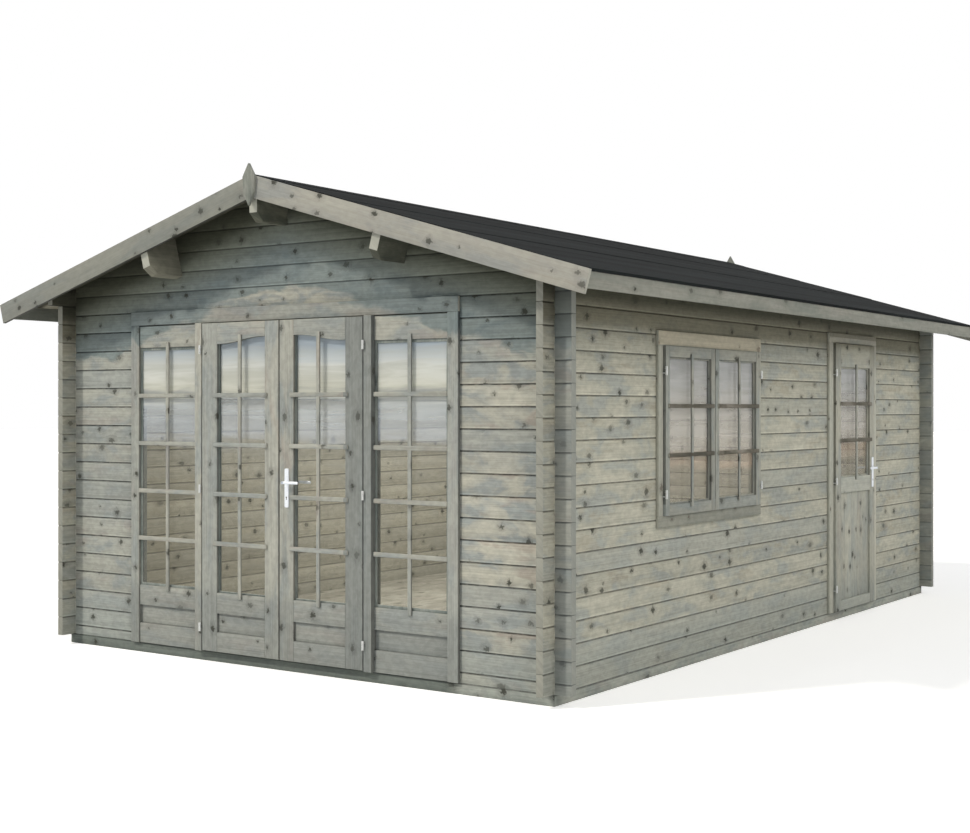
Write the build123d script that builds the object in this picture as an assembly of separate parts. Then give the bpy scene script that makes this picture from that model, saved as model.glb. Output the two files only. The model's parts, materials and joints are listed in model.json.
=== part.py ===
from build123d import *
import math
import os

# Log cabin of planed interlocking logs, with a low gable roof, glazed double doors between
# two fixed lights in the front gable, and a casement window and a half-glazed door in one side.
# Millimetres. Origin on the ground under the middle of the cabin, front towards -Y,
# +X the side with the window and the side door, +Z up.

# Walls and logs
WALL_WIDTH = 3700.0        # over the outer faces of the side walls
WALL_DEPTH = 5300.0        # over the outer faces of the front and back walls
LOG_THICKNESS = 44.0
COURSE = 115.0             # height of one log course
SIDE_COURSES = 19          # the top one is planed to the roof
END_PROJECTION = 100.0     # log ends past the crossing wall
TOP_LOG_PROJECTION = 175.0 # the top log of each side wall runs further out
LOG_GAP = 0.4              # shadow line between courses
NOTCH_CLEARANCE = 0.3      # all round, where logs cross and where purlins pass the gables
GROOVE_HEIGHT = 9.0        # bevel on the upper outer edge of a log, which makes the groove
GROOVE_DEPTH = 4.5

# Base and floor
BASE_HEIGHT = 60.0
BASE_WIDTH = 70.0
JOIST_WIDTH = 45.0
JOIST_COUNT = 9
FLOOR_THICKNESS = 28.0
FLOOR_CLEARANCE = 1.0      # floor to the inner faces of the walls
JOINT_GAP = 0.3            # between members that meet end to end

# Roof
PITCH = 16.0               # degrees
EAVES_CUT = 16.5           # planed off the outer edge of the top side logs
FELT_THICKNESS = 5.0
ROOF_BOARD_THICKNESS = 19.0
GABLE_OVERHANG = 235.0     # roof boards past the front and back walls
FASCIA_BEHIND_BARGE = 25.0 # outer face of the fascia, short of the bargeboards' ends
FASCIA_THICKNESS = 18.0
FASCIA_HEIGHT = 95.0       # at its outer face, under the felt
FELT_DRIP = 11.0           # felt turned down over the fascia
BARGE_HEIGHT = 122.0
BARGE_THICKNESS = 20.0
BARGE_REACH = 2220.0       # upper end corner from the middle of the cabin
FINIAL_THICKNESS = 18.0
FINIAL_HEIGHT = 236.0
FINIAL_WIDTH = 90.0
FINIAL_WAIST = 76.0        # width at the lower shoulders
FINIAL_TOP_POINT = 74.0    # height of the upper point
FINIAL_LOWER_POINT = 72.0  # height of the lower point
FINIAL_ABOVE_RIDGE = 56.0
PURLIN_WIDTH = 60.0
PURLIN_DEPTH = 236.0
PURLIN_NOSE = 48.0         # bevel under each purlin end
SIDE_PURLIN_RUN = 935.0    # ridge to the purlin's near face, along the slope

# Front doorway with two leaves and two fixed lights
FRONT_OPENING_HALF = 1230.0
FRONT_OPENING_COURSES = 17.5
CASING_PROUD = 20.0
CASING_WIDTH = 70.0
CASING_LAP = 30.0          # casing over the log ends
FRAME_CLEARANCE = 0.5      # frame to the cut logs
SASH_PROUD = 36.0          # doors and casements stand this far out of the wall
SASH_THICKNESS = 40.0
MULLION_INNER = 628.0
MULLION_OUTER = 683.0
HEAD_HEIGHT = 82.0         # frame head, under the logs over the doorway
DOOR_HEAD_GAP = 5.0
DOOR_FOOT_GAP = 6.0
LEAF_SIDE_GAP = 7.0
MEETING_GAP = 9.0
MEETING_STILE = 107.0
HINGE_STILE = 123.0
BOTTOM_RAIL_TOP = 180.0
PANEL_TOP = 290.0
GLASS_BOTTOM = 411.0
TOP_RAIL_AT_HINGE = 124.5  # depth of the arched top rail at the hinge stile
TOP_RAIL_AT_MEETING = 86.5 # and at the meeting stile
LIGHT_TOP_RAIL = 131.5     # straight top rail of the fixed lights
LIGHT_PROUD = 12.0         # fixed lights stand this far out of the wall
PANEL_THICKNESS = 16.0
PANEL_RECESS = 14.0
GLASS_THICKNESS = 4.0
GLASS_RECESS = 26.0
GLASS_CLEARANCE = 0.3
SILL_HEIGHT = 22.0
SILL_BEHIND_LEAF = 6.0

# Side door, in the right wall
SIDE_DOOR_Y = 1181.0       # middle of the doorway
SIDE_DOOR_HALF = 405.0
SIDE_DOOR_COURSES = 17
SIDE_LEAF_HALF = 359.5
SIDE_STILE = 91.0
SIDE_HEAD_HEIGHT = 68.0
SIDE_BOTTOM_RAIL_TOP = 135.0
SIDE_PANEL_TOP = 890.0
SIDE_GLASS_BOTTOM = 999.0
SIDE_TOP_RAIL = 163.0
PANEL_BOARD_COUNT = 5

# Window, in the right wall
WINDOW_Y = -992.0          # middle of the window
WINDOW_HALF = 620.0
COURSES_UNDER_WINDOW = 7
WINDOW_COURSES = 9
CASEMENT_CLEARANCE = 25.0  # log ends to the casement, at each side
CASEMENT_STILE = 45.0
CASEMENT_RAIL = 62.0
CASEMENT_ABOVE_LOGS = 19.0
CASEMENT_BELOW_LOGS = 62.0
WINDOW_MEETING_GAP = 6.0
WINDOW_MEETING_STILE = 47.0
WINDOW_CASING_LAP = 28.0   # casing over the log ends
WINDOW_CASING_WIDTH = 49.0
WINDOW_CASING_UNDER = 46.0 # casing below the opening in the logs
WINDOW_CASING_OVER = 22.0  # and above it

# Hinges and handles
PIN_PROUD = 45.0           # hinge pins, out of the wall
PIN_FROM_LEAF = 10.0       # pin axis past the leaf's edge
BARREL_RADIUS = 7.0
BARREL_LENGTH = 25.0
BARREL_GAP = 0.5
PIN_RADIUS = 4.0
PIN_RUNNING = 0.3          # above the pin
PIN_BORE_RADIUS = 4.2
FLAT_COUNT = 12            # flats round a hinge barrel, pin or lever neck
PIN_INSIDE = 20.0          # pin inside the upper barrel
LUG_REACH = 18.0
DOOR_HINGES = (1832.0, 1015.0, 203.0)
SIDE_HINGES = (1735.0, 977.0, 225.0)
WINDOW_HINGES = (1697.0, 1006.0)
PLATE_WIDTH = 30.0
PLATE_HEIGHT = 220.0
PLATE_THICKNESS = 6.0
LEVER_ABOVE_PLATE_MIDDLE = 31.0
FRONT_LEVER_Z = 1070.0
FRONT_PLATE_FROM_EDGE = 59.0
SIDE_LEVER_Z = 1050.0
SIDE_PLATE_FROM_EDGE = 45.0
LEVER_RADIUS = 9.0
LEVER_STANDOFF = 44.0      # arm's axis from the leaf's face
LEVER_LENGTH = 120.0
SPINDLE_RADIUS = 5.0
SPINDLE_HOLE_RADIUS = 8.0
PLATE_HOLE_RADIUS = 6.0
LEVER_BEVEL = 5.0
NECK_CLEARANCE = 1.0       # lever neck to the plate

# Worked out from the sizes above
HALF_W = WALL_WIDTH / 2
HALF_D = WALL_DEPTH / 2
SLOPE = math.tan(math.radians(PITCH))
COS_P = math.cos(math.radians(PITCH))
SIN_P = math.sin(math.radians(PITCH))
QUARTER = COURSE / 4
ROOF_HALF_LENGTH = HALF_D + GABLE_OVERHANG
BOARD_UNDERSIDE = FELT_THICKNESS + ROOF_BOARD_THICKNESS
SIDE_WALL_TOP = BASE_HEIGHT + SIDE_COURSES * COURSE - EAVES_CUT
RIDGE_TOP = SIDE_WALL_TOP + HALF_W * SLOPE + BOARD_UNDERSIDE / COS_P
FASCIA_OFFSET = BARGE_REACH - FASCIA_BEHIND_BARGE
DOORWAY_TOP = BASE_HEIGHT + FRONT_OPENING_COURSES * COURSE
SIDE_DOORWAY_TOP = BASE_HEIGHT + SIDE_DOOR_COURSES * COURSE
WINDOW_OPENING_BOTTOM = BASE_HEIGHT + COURSES_UNDER_WINDOW * COURSE
WINDOW_OPENING_TOP = WINDOW_OPENING_BOTTOM + WINDOW_COURSES * COURSE
LEAF_BOTTOM = BASE_HEIGHT + DOOR_FOOT_GAP
LEAF_TOP = DOORWAY_TOP - HEAD_HEIGHT - DOOR_HEAD_GAP
LEAF_EDGE = MULLION_INNER - LEAF_SIDE_GAP
SIDE_LEAF_TOP = SIDE_DOORWAY_TOP - SIDE_HEAD_HEIGHT - DOOR_HEAD_GAP
ARCH_LOW = LEAF_TOP - TOP_RAIL_AT_HINGE
ARCH_HIGH = LEAF_TOP - TOP_RAIL_AT_MEETING
LIGHT_RAIL_BOTTOM = LEAF_TOP - LIGHT_TOP_RAIL
SIDE_GLASS_TOP = SIDE_LEAF_TOP - SIDE_TOP_RAIL
CASEMENT_HALF = WINDOW_HALF - CASEMENT_CLEARANCE
CASEMENT_BOTTOM = WINDOW_OPENING_BOTTOM + CASEMENT_ABOVE_LOGS
CASEMENT_TOP = WINDOW_OPENING_TOP - CASEMENT_BELOW_LOGS
WINDOW_CASING_HALF = WINDOW_HALF + WINDOW_CASING_LAP
WINDOW_CASING_BOTTOM = WINDOW_OPENING_BOTTOM - WINDOW_CASING_UNDER
WINDOW_CASING_TOP = WINDOW_OPENING_TOP + WINDOW_CASING_OVER

os.makedirs("parts", exist_ok=True)


def save(name, solids):
    """Write one named piece, made of one or more separate solids."""
    shape = solids[0] if len(solids) == 1 else Compound(children=list(solids))
    export_step(shape, f"parts/{name}.step")


def block(x0, x1, y0, y1, z0, z1):
    """A squared member between two corners."""
    return Pos((x0 + x1) / 2, (y0 + y1) / 2, (z0 + z1) / 2) * Box(x1 - x0, y1 - y0, z1 - z0)


def prism(points, direction, length):
    """A flat outline pushed along a direction."""
    return extrude(make_face(Polyline(*points, close=True)), amount=length, dir=direction)


def solids_of(shape):
    """The separate solids of a cut shape."""
    return list(shape.solids())


def mirrored(shape):
    """The same piece on the other side of the middle of the cabin."""
    return mirror(shape, about=Plane.YZ)


def roof_z(x, depth=0.0):
    """Height of a plane that lies a square depth below the top of the roof, at x."""
    return RIDGE_TOP - abs(x) * SLOPE - depth / COS_P


def roof_void(depth):
    """Everything above a plane that lies a square depth below the top of the roof."""
    reach = BARGE_REACH + COURSE
    top = RIDGE_TOP + COURSE
    outline = [(-reach, 0, roof_z(reach, depth)), (0, 0, roof_z(0, depth)), (reach, 0, roof_z(reach, depth)),
               (reach, 0, top), (-reach, 0, top)]
    lifted = [(x, -ROOF_HALF_LENGTH - COURSE, z) for x, y, z in outline]
    return prism(lifted, (0, 1, 0), 2 * (ROOF_HALF_LENGTH + COURSE))


def log_section(z0, z1):
    """Outline of a log as (depth from the outer face, height), its upper outer edge bevelled."""
    high = z1 - LOG_GAP
    return [(0, z0), (LOG_THICKNESS, z0), (LOG_THICKNESS, high), (GROOVE_DEPTH, high), (0, high - GROOVE_HEIGHT)]


def front_log(x0, x1, z0, z1, side=-1):
    """A log of the front wall (side -1) or the back wall (side 1), from x0 to x1."""
    points = [(x0, side * (HALF_D - t), z) for t, z in log_section(z0, z1)]
    return prism(points, (1, 0, 0), x1 - x0)


def side_log(y0, y1, z0, z1, side=1):
    """A log of the right wall (side 1) or the left wall (side -1), from y0 to y1."""
    points = [(side * (HALF_W - t), y0, z) for t, z in log_section(z0, z1)]
    return prism(points, (0, 1, 0), y1 - y0)


def crossing(x_side, y_side, z0, z1):
    """The space that the crossing log takes at one corner, between two heights."""
    x_mid = x_side * (HALF_W - LOG_THICKNESS / 2)
    y_mid = y_side * (HALF_D - LOG_THICKNESS / 2)
    half = LOG_THICKNESS / 2 + NOTCH_CLEARANCE
    return block(x_mid - half, x_mid + half, y_mid - half, y_mid + half, z0, z1)


def notched(log, corners, z0, z1, lower=True):
    """Cut a log a quarter from above and, unless it lies on the base, a quarter from below."""
    for x_side, y_side in corners:
        log = log - crossing(x_side, y_side, z1 - QUARTER - NOTCH_CLEARANCE, z1)
        if lower:
            log = log - crossing(x_side, y_side, z0, z0 + QUARTER + NOTCH_CLEARANCE)
    return log


ROOF_CUT = roof_void(BOARD_UNDERSIDE + JOINT_GAP)


def side_wall_course(index):
    """Bottom and top of a side wall's course."""
    z0 = BASE_HEIGHT + index * COURSE
    return z0, z0 + COURSE


def side_wall_log(index, side, y0=None, y1=None):
    """One log of a side wall: whole, or from one corner to an opening, or between openings."""
    z0, z1 = side_wall_course(index)
    reach = HALF_D + (TOP_LOG_PROJECTION if index == SIDE_COURSES - 1 else END_PROJECTION)
    start = -reach if y0 is None else y0
    end = reach if y1 is None else y1
    corners = [(side, y_side) for y_side, free in ((-1, y0), (1, y1)) if free is None]
    log = notched(side_log(start, end, z0, z1, side), corners, z0, z1)
    if index == SIDE_COURSES - 1:
        log = log - ROOF_CUT
    return log


def front_wall_course(index):
    """Bottom and top of a front or back course: the first is half a log, on the base."""
    if index == 0:
        return BASE_HEIGHT, BASE_HEIGHT + COURSE / 2
    z0 = BASE_HEIGHT + COURSE / 2 + (index - 1) * COURSE
    return z0, z0 + COURSE


def front_wall_log(index, y_side, x0=None, x1=None):
    """One log of the front or back wall, from corner to corner or to the doorway."""
    z0, z1 = front_wall_course(index)
    reach = HALF_W + END_PROJECTION
    start = -reach if x0 is None else x0
    end = reach if x1 is None else x1
    corners = [(x_side, y_side) for x_side, free in ((-1, x0), (1, x1)) if free is None]
    return notched(front_log(start, end, z0, z1, y_side), corners, z0, z1, lower=index > 0)


def on_slope(x_run0, x_run1, y0, y1, n0, n1):
    """A squared member laid on the right slope: along the slope, along the ridge, square to it."""
    plane = Plane(origin=(0, 0, RIDGE_TOP), x_dir=(COS_P, 0, -SIN_P), z_dir=(SIN_P, 0, COS_P))
    return plane.location * block(x_run0, x_run1, y0, y1, n0, n1)


def side_purlin(grow=0.0):
    """The right purlin, set square to the slope, with bevelled noses; grown for its notches."""
    y_end = ROOF_HALF_LENGTH - JOINT_GAP
    low = -BOARD_UNDERSIDE - PURLIN_DEPTH
    beam = on_slope(SIDE_PURLIN_RUN - grow, SIDE_PURLIN_RUN + PURLIN_WIDTH + grow, -y_end, y_end,
                    low - grow, -BOARD_UNDERSIDE)
    return beam if grow else bevel_noses(beam, y_end)


def ridge_purlin(grow=0.0):
    """The ridge purlin, its top planed to both slopes; grown for its notches."""
    y_end = ROOF_HALF_LENGTH - JOINT_GAP
    half = PURLIN_WIDTH / 2 + grow
    bottom = roof_z(0, BOARD_UNDERSIDE) - PURLIN_DEPTH - grow
    outline = [(-half, bottom), (half, bottom), (half, roof_z(half, BOARD_UNDERSIDE)),
               (0, roof_z(0, BOARD_UNDERSIDE)), (-half, roof_z(half, BOARD_UNDERSIDE))]
    beam = prism([(x, -y_end, z) for x, z in outline], (0, 1, 0), 2 * y_end)
    return beam if grow else bevel_noses(beam, y_end)


def bevel_noses(beam, y_end):
    """Bevel the lower edge of both ends of a purlin."""
    ends = beam.edges().filter_by(lambda edge: abs(abs(edge.center().Y) - y_end) < 1)
    lowest = [min((e for e in ends if e.center().Y * side > 0), key=lambda e: e.center().Z)
              for side in (-1, 1)]
    return chamfer(lowest, PURLIN_NOSE)


def gable(y_side):
    """Logs over the doorway height, cut to the roof and notched for the purlins."""
    notches = [ridge_purlin(NOTCH_CLEARANCE), side_purlin(NOTCH_CLEARANCE)]
    notches.append(mirrored(notches[1]))
    pieces = []
    index = int(FRONT_OPENING_COURSES + 0.5)
    while front_wall_course(index)[0] < roof_z(0, BOARD_UNDERSIDE) - COURSE / 4:
        log = front_wall_log(index, y_side) - ROOF_CUT
        for notch in notches:
            log = log - notch
        pieces.extend(solids_of(log))
        index += 1
    return pieces


def base_beams():
    """Four mitred base beams with floor joists between the long ones."""
    inner_w = HALF_W - BASE_WIDTH
    inner_d = HALF_D - BASE_WIDTH
    front = prism([(-HALF_W + JOINT_GAP, -HALF_D, 0), (HALF_W - JOINT_GAP, -HALF_D, 0),
                   (inner_w - JOINT_GAP, -inner_d, 0), (-inner_w + JOINT_GAP, -inner_d, 0)],
                  (0, 0, 1), BASE_HEIGHT)
    side = prism([(HALF_W, -HALF_D + JOINT_GAP, 0), (HALF_W, HALF_D - JOINT_GAP, 0),
                  (inner_w, inner_d - JOINT_GAP, 0), (inner_w, -inner_d + JOINT_GAP, 0)],
                 (0, 0, 1), BASE_HEIGHT)
    beams = [front, mirror(front, about=Plane.XZ), side, mirrored(side)]
    step = 2 * inner_d / (JOIST_COUNT + 1)
    for number in range(1, JOIST_COUNT + 1):
        y_mid = -inner_d + number * step
        beams.append(block(-inner_w + JOINT_GAP, inner_w - JOINT_GAP,
                           y_mid - JOIST_WIDTH / 2, y_mid + JOIST_WIDTH / 2, 0, BASE_HEIGHT))
    return beams


def floor():
    """The floor, on the joists and the inner edge of the base beams."""
    half_x = HALF_W - LOG_THICKNESS - FLOOR_CLEARANCE
    half_y = HALF_D - LOG_THICKNESS - FLOOR_CLEARANCE
    return block(-half_x, half_x, -half_y, half_y, BASE_HEIGHT, BASE_HEIGHT + FLOOR_THICKNESS)


def roof_band(depth0, depth1, x_end, y0, y1):
    """A layer of the right slope from the ridge to a square-cut lower end."""
    drop = depth1 - depth0
    outline = [(JOINT_GAP / 2, roof_z(JOINT_GAP / 2, depth0)), (x_end, roof_z(x_end, depth0)),
               (x_end - drop * SIN_P, roof_z(x_end, depth0) - drop * COS_P),
               (JOINT_GAP / 2, roof_z(JOINT_GAP / 2, depth1))]
    return prism([(x, y0, z) for x, z in outline], (0, 1, 0), y1 - y0)


def roof_boards():
    """The right slope's boards."""
    reach = FASCIA_OFFSET - FASCIA_THICKNESS - JOINT_GAP
    return roof_band(FELT_THICKNESS, BOARD_UNDERSIDE, reach, -ROOF_HALF_LENGTH, ROOF_HALF_LENGTH)


def roof_felt():
    """The right slope's felt: the sheet, and the strip turned down over the fascia."""
    inner = FASCIA_OFFSET + JOINT_GAP
    outer = inner + FELT_THICKNESS
    sheet = [(JOINT_GAP / 2, roof_z(JOINT_GAP / 2)), (outer, roof_z(outer)), (outer, roof_z(outer, FELT_THICKNESS)),
             (JOINT_GAP / 2, roof_z(JOINT_GAP / 2, FELT_THICKNESS))]
    top = roof_z(outer, FELT_THICKNESS) - JOINT_GAP
    strip = [(inner, top), (outer, top), (outer, top - FELT_DRIP), (inner, top - FELT_DRIP)]
    return [prism([(x, -ROOF_HALF_LENGTH, z) for x, z in outline], (0, 1, 0), 2 * ROOF_HALF_LENGTH)
            for outline in (sheet, strip)]


def fascia():
    """The right eaves board, its top planed to the slope."""
    inner = FASCIA_OFFSET - FASCIA_THICKNESS
    top = roof_z(FASCIA_OFFSET, FELT_THICKNESS)
    outline = [(inner, top - FASCIA_HEIGHT), (FASCIA_OFFSET, top - FASCIA_HEIGHT),
               (FASCIA_OFFSET, top), (inner, roof_z(inner, FELT_THICKNESS))]
    return prism([(x, -ROOF_HALF_LENGTH, z) for x, z in outline], (0, 1, 0), 2 * ROOF_HALF_LENGTH)


def bargeboard(y_side):
    """The right board of a gable, square-cut at its lower end."""
    faces = sorted((y_side * ROOF_HALF_LENGTH, y_side * (ROOF_HALF_LENGTH + BARGE_THICKNESS)))
    return roof_band(FELT_THICKNESS, FELT_THICKNESS + BARGE_HEIGHT, BARGE_REACH, *faces)


def finial(y_side):
    """The pointed board over the joint of two bargeboards."""
    tip = RIDGE_TOP + FINIAL_ABOVE_RIDGE
    foot = tip - FINIAL_HEIGHT
    shoulder = tip - FINIAL_TOP_POINT
    waist = foot + FINIAL_LOWER_POINT
    outline = [(0, tip), (FINIAL_WIDTH / 2, shoulder), (FINIAL_WAIST / 2, waist), (0, foot),
               (-FINIAL_WAIST / 2, waist), (-FINIAL_WIDTH / 2, shoulder)]
    near = y_side * (ROOF_HALF_LENGTH + BARGE_THICKNESS)
    return prism([(x, near, z) for x, z in outline], (0, y_side, 0), FINIAL_THICKNESS)


# Sashes are drawn face on: u along the wall, outwards depth p from the wall's outer face, z up.
# A frame maps them to the front wall or to the right wall.


def front_block(u0, u1, p0, p1, z0, z1):
    """A member of the front wall; p is how far it stands out of the wall."""
    return block(u0, u1, -HALF_D - p1, -HALF_D - p0, z0, z1)


def right_block(u0, u1, p0, p1, z0, z1):
    """A member of the right wall; u runs along Y."""
    return block(HALF_W + p0, HALF_W + p1, u0, u1, z0, z1)


def front_door_frame():
    """Posts, mullions, head and sill in the doorway, and the casing boards round it."""
    edge = FRONT_OPENING_HALF - FRAME_CLEARANCE
    casing_inner = FRONT_OPENING_HALF + CASING_LAP - CASING_WIDTH
    head_bottom = DOORWAY_TOP - HEAD_HEIGHT
    post_top = head_bottom - JOINT_GAP
    post = front_block(casing_inner, edge, -LOG_THICKNESS, 0, BASE_HEIGHT, post_top)
    mullion = front_block(MULLION_INNER, MULLION_OUTER, -LOG_THICKNESS, SASH_PROUD, BASE_HEIGHT, post_top)
    head = front_block(-edge, edge, -LOG_THICKNESS, 0, head_bottom, DOORWAY_TOP - FRAME_CLEARANCE)
    leaf_back = SASH_PROUD - SASH_THICKNESS
    sill = front_block(-MULLION_INNER + JOINT_GAP, MULLION_INNER - JOINT_GAP, -LOG_THICKNESS,
                       leaf_back - SILL_BEHIND_LEAF, BASE_HEIGHT, BASE_HEIGHT + SILL_HEIGHT)
    casing_out = FRONT_OPENING_HALF + CASING_LAP
    jamb = front_block(casing_inner, casing_out, JOINT_GAP, CASING_PROUD, BASE_HEIGHT, post_top)
    top = front_block(-casing_out, casing_out, JOINT_GAP, CASING_PROUD, head_bottom, DOORWAY_TOP)
    return [post, mirrored(post), mullion, mirrored(mullion), head, sill, jamb, mirrored(jamb), top]


def side_light():
    """The right fixed light: top, middle and bottom rails and the panel."""
    u0 = MULLION_OUTER + JOINT_GAP
    u1 = FRONT_OPENING_HALF + CASING_LAP - CASING_WIDTH - JOINT_GAP
    back = LIGHT_PROUD - SASH_THICKNESS
    top = front_block(u0, u1, back, LIGHT_PROUD, LIGHT_RAIL_BOTTOM, LEAF_TOP)
    middle = front_block(u0, u1, back, LIGHT_PROUD, PANEL_TOP, GLASS_BOTTOM)
    bottom = front_block(u0, u1, back, LIGHT_PROUD, BASE_HEIGHT, BOTTOM_RAIL_TOP)
    face = LIGHT_PROUD - PANEL_RECESS
    panel = front_block(u0, u1, face - PANEL_THICKNESS, face, BOTTOM_RAIL_TOP + JOINT_GAP, PANEL_TOP - JOINT_GAP)
    return [top, middle, bottom, panel]


def side_light_glass():
    """The right fixed light's pane."""
    u0 = MULLION_OUTER + GLASS_CLEARANCE
    u1 = FRONT_OPENING_HALF + CASING_LAP - CASING_WIDTH - GLASS_CLEARANCE
    face = LIGHT_PROUD - GLASS_RECESS / 2
    return front_block(u0, u1, face - GLASS_THICKNESS, face, GLASS_BOTTOM + GLASS_CLEARANCE,
                       LIGHT_RAIL_BOTTOM - GLASS_CLEARANCE)


def arch_curve(u_low, u_high, shift, y):
    """The reversed curve under a leaf's top rail, level at both stiles."""
    half_span = (u_high - u_low) / 2
    half_rise = (ARCH_HIGH - ARCH_LOW) / 2
    radius = (half_span ** 2 + half_rise ** 2) / (2 * half_rise)
    half_turn = math.asin(abs(half_span) / radius) / 2
    along = math.copysign(radius * math.sin(half_turn), half_span)
    rise = radius * (1 - math.cos(half_turn))
    low = (u_low, y, ARCH_LOW + shift)
    high = (u_high, y, ARCH_HIGH + shift)
    middle = (u_low + half_span, y, ARCH_LOW + half_rise + shift)
    first = ThreePointArc(low, (u_low + along, y, ARCH_LOW + rise + shift), middle)
    second = ThreePointArc(middle, (u_high - along, y, ARCH_HIGH - rise + shift), high)
    return first + second


def curved_block(u_low, u_high, p0, p1, z_flat, shift):
    """A member between a level edge at z_flat and the curve of the leaf's arch."""
    y = -HALF_D - p0
    curve = arch_curve(u_low, u_high, shift, y)
    ends = Polyline(curve @ 1, (u_high, y, z_flat), (u_low, y, z_flat), curve @ 0)
    return extrude(make_face(curve + ends), amount=p1 - p0, dir=(0, -1, 0))


def right_leaf():
    """The right door leaf: stiles, curved top rail, middle rail, panel and bottom rail."""
    back = SASH_PROUD - SASH_THICKNESS
    inner = MEETING_GAP / 2 + MEETING_STILE
    outer = LEAF_EDGE - HINGE_STILE
    u0 = inner + JOINT_GAP
    u1 = outer - JOINT_GAP
    meeting = front_block(MEETING_GAP / 2, inner, back, SASH_PROUD, LEAF_BOTTOM, LEAF_TOP)
    hinge = front_block(outer, LEAF_EDGE, back, SASH_PROUD, LEAF_BOTTOM, LEAF_TOP)
    top = curved_block(u1, u0, back, SASH_PROUD, LEAF_TOP, 0)
    middle = front_block(u0, u1, back, SASH_PROUD, PANEL_TOP, GLASS_BOTTOM)
    bottom = front_block(u0, u1, back, SASH_PROUD, LEAF_BOTTOM, BOTTOM_RAIL_TOP)
    face = SASH_PROUD - PANEL_RECESS
    panel = front_block(u0, u1, face - PANEL_THICKNESS, face, BOTTOM_RAIL_TOP + JOINT_GAP, PANEL_TOP - JOINT_GAP)
    return [meeting, hinge, top, middle, bottom, panel]


def right_leaf_glass():
    """The pane of the right leaf, its top cut to the arch."""
    u_low = LEAF_EDGE - HINGE_STILE - GLASS_CLEARANCE - JOINT_GAP
    u_high = MEETING_GAP / 2 + MEETING_STILE + GLASS_CLEARANCE + JOINT_GAP
    face = SASH_PROUD - GLASS_RECESS
    return curved_block(u_low, u_high, face - GLASS_THICKNESS, face, GLASS_BOTTOM + GLASS_CLEARANCE,
                        -GLASS_CLEARANCE)


def side_door_frame():
    """Posts, head and sill of the side doorway, and its casing boards."""
    edge = SIDE_DOOR_HALF - FRAME_CLEARANCE
    casing_inner = SIDE_DOOR_HALF + CASING_LAP - CASING_WIDTH
    casing_out = SIDE_DOOR_HALF + CASING_LAP
    head_bottom = SIDE_DOORWAY_TOP - SIDE_HEAD_HEIGHT
    post_top = head_bottom - JOINT_GAP
    mid = SIDE_DOOR_Y
    members = []
    for u0, u1 in ((casing_inner, edge), (-edge, -casing_inner)):
        members.append(right_block(mid + u0, mid + u1, -LOG_THICKNESS, 0, BASE_HEIGHT, post_top))
    members.append(right_block(mid - edge, mid + edge, -LOG_THICKNESS, 0, head_bottom,
                               SIDE_DOORWAY_TOP - FRAME_CLEARANCE))
    leaf_back = SASH_PROUD - SASH_THICKNESS
    sill_half = casing_inner - JOINT_GAP
    members.append(right_block(mid - sill_half, mid + sill_half, -LOG_THICKNESS,
                               leaf_back - SILL_BEHIND_LEAF, BASE_HEIGHT, BASE_HEIGHT + SILL_HEIGHT))
    for u0, u1 in ((casing_inner, casing_out), (-casing_out, -casing_inner)):
        members.append(right_block(mid + u0, mid + u1, JOINT_GAP, CASING_PROUD, BASE_HEIGHT, post_top))
    members.append(right_block(mid - casing_out, mid + casing_out, JOINT_GAP, CASING_PROUD,
                               head_bottom, SIDE_DOORWAY_TOP))
    return members


def side_leaf():
    """The side door's leaf: stiles, three rails and a panel of upright boards."""
    back = SASH_PROUD - SASH_THICKNESS
    mid = SIDE_DOOR_Y
    inner = SIDE_LEAF_HALF - SIDE_STILE
    u0 = mid - inner + JOINT_GAP
    u1 = mid + inner - JOINT_GAP
    members = [right_block(mid - SIDE_LEAF_HALF, mid - inner, back, SASH_PROUD, LEAF_BOTTOM, SIDE_LEAF_TOP),
               right_block(mid + inner, mid + SIDE_LEAF_HALF, back, SASH_PROUD, LEAF_BOTTOM, SIDE_LEAF_TOP)]
    for z0, z1 in ((SIDE_GLASS_TOP, SIDE_LEAF_TOP), (SIDE_PANEL_TOP, SIDE_GLASS_BOTTOM),
                   (LEAF_BOTTOM, SIDE_BOTTOM_RAIL_TOP)):
        members.append(right_block(u0, u1, back, SASH_PROUD, z0, z1))
    face = SASH_PROUD - PANEL_RECESS
    width = (u1 - u0) / PANEL_BOARD_COUNT
    for number in range(PANEL_BOARD_COUNT):
        left = u0 + number * width
        members.append(right_block(left, left + width - JOINT_GAP, face - PANEL_THICKNESS, face,
                                   SIDE_BOTTOM_RAIL_TOP + JOINT_GAP, SIDE_PANEL_TOP - JOINT_GAP))
    return members


def side_leaf_glass():
    """The side door's pane."""
    inner = SIDE_LEAF_HALF - SIDE_STILE - GLASS_CLEARANCE
    face = SASH_PROUD - GLASS_RECESS
    return right_block(SIDE_DOOR_Y - inner, SIDE_DOOR_Y + inner, face - GLASS_THICKNESS, face,
                       SIDE_GLASS_BOTTOM + GLASS_CLEARANCE, SIDE_GLASS_TOP - GLASS_CLEARANCE)


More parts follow.
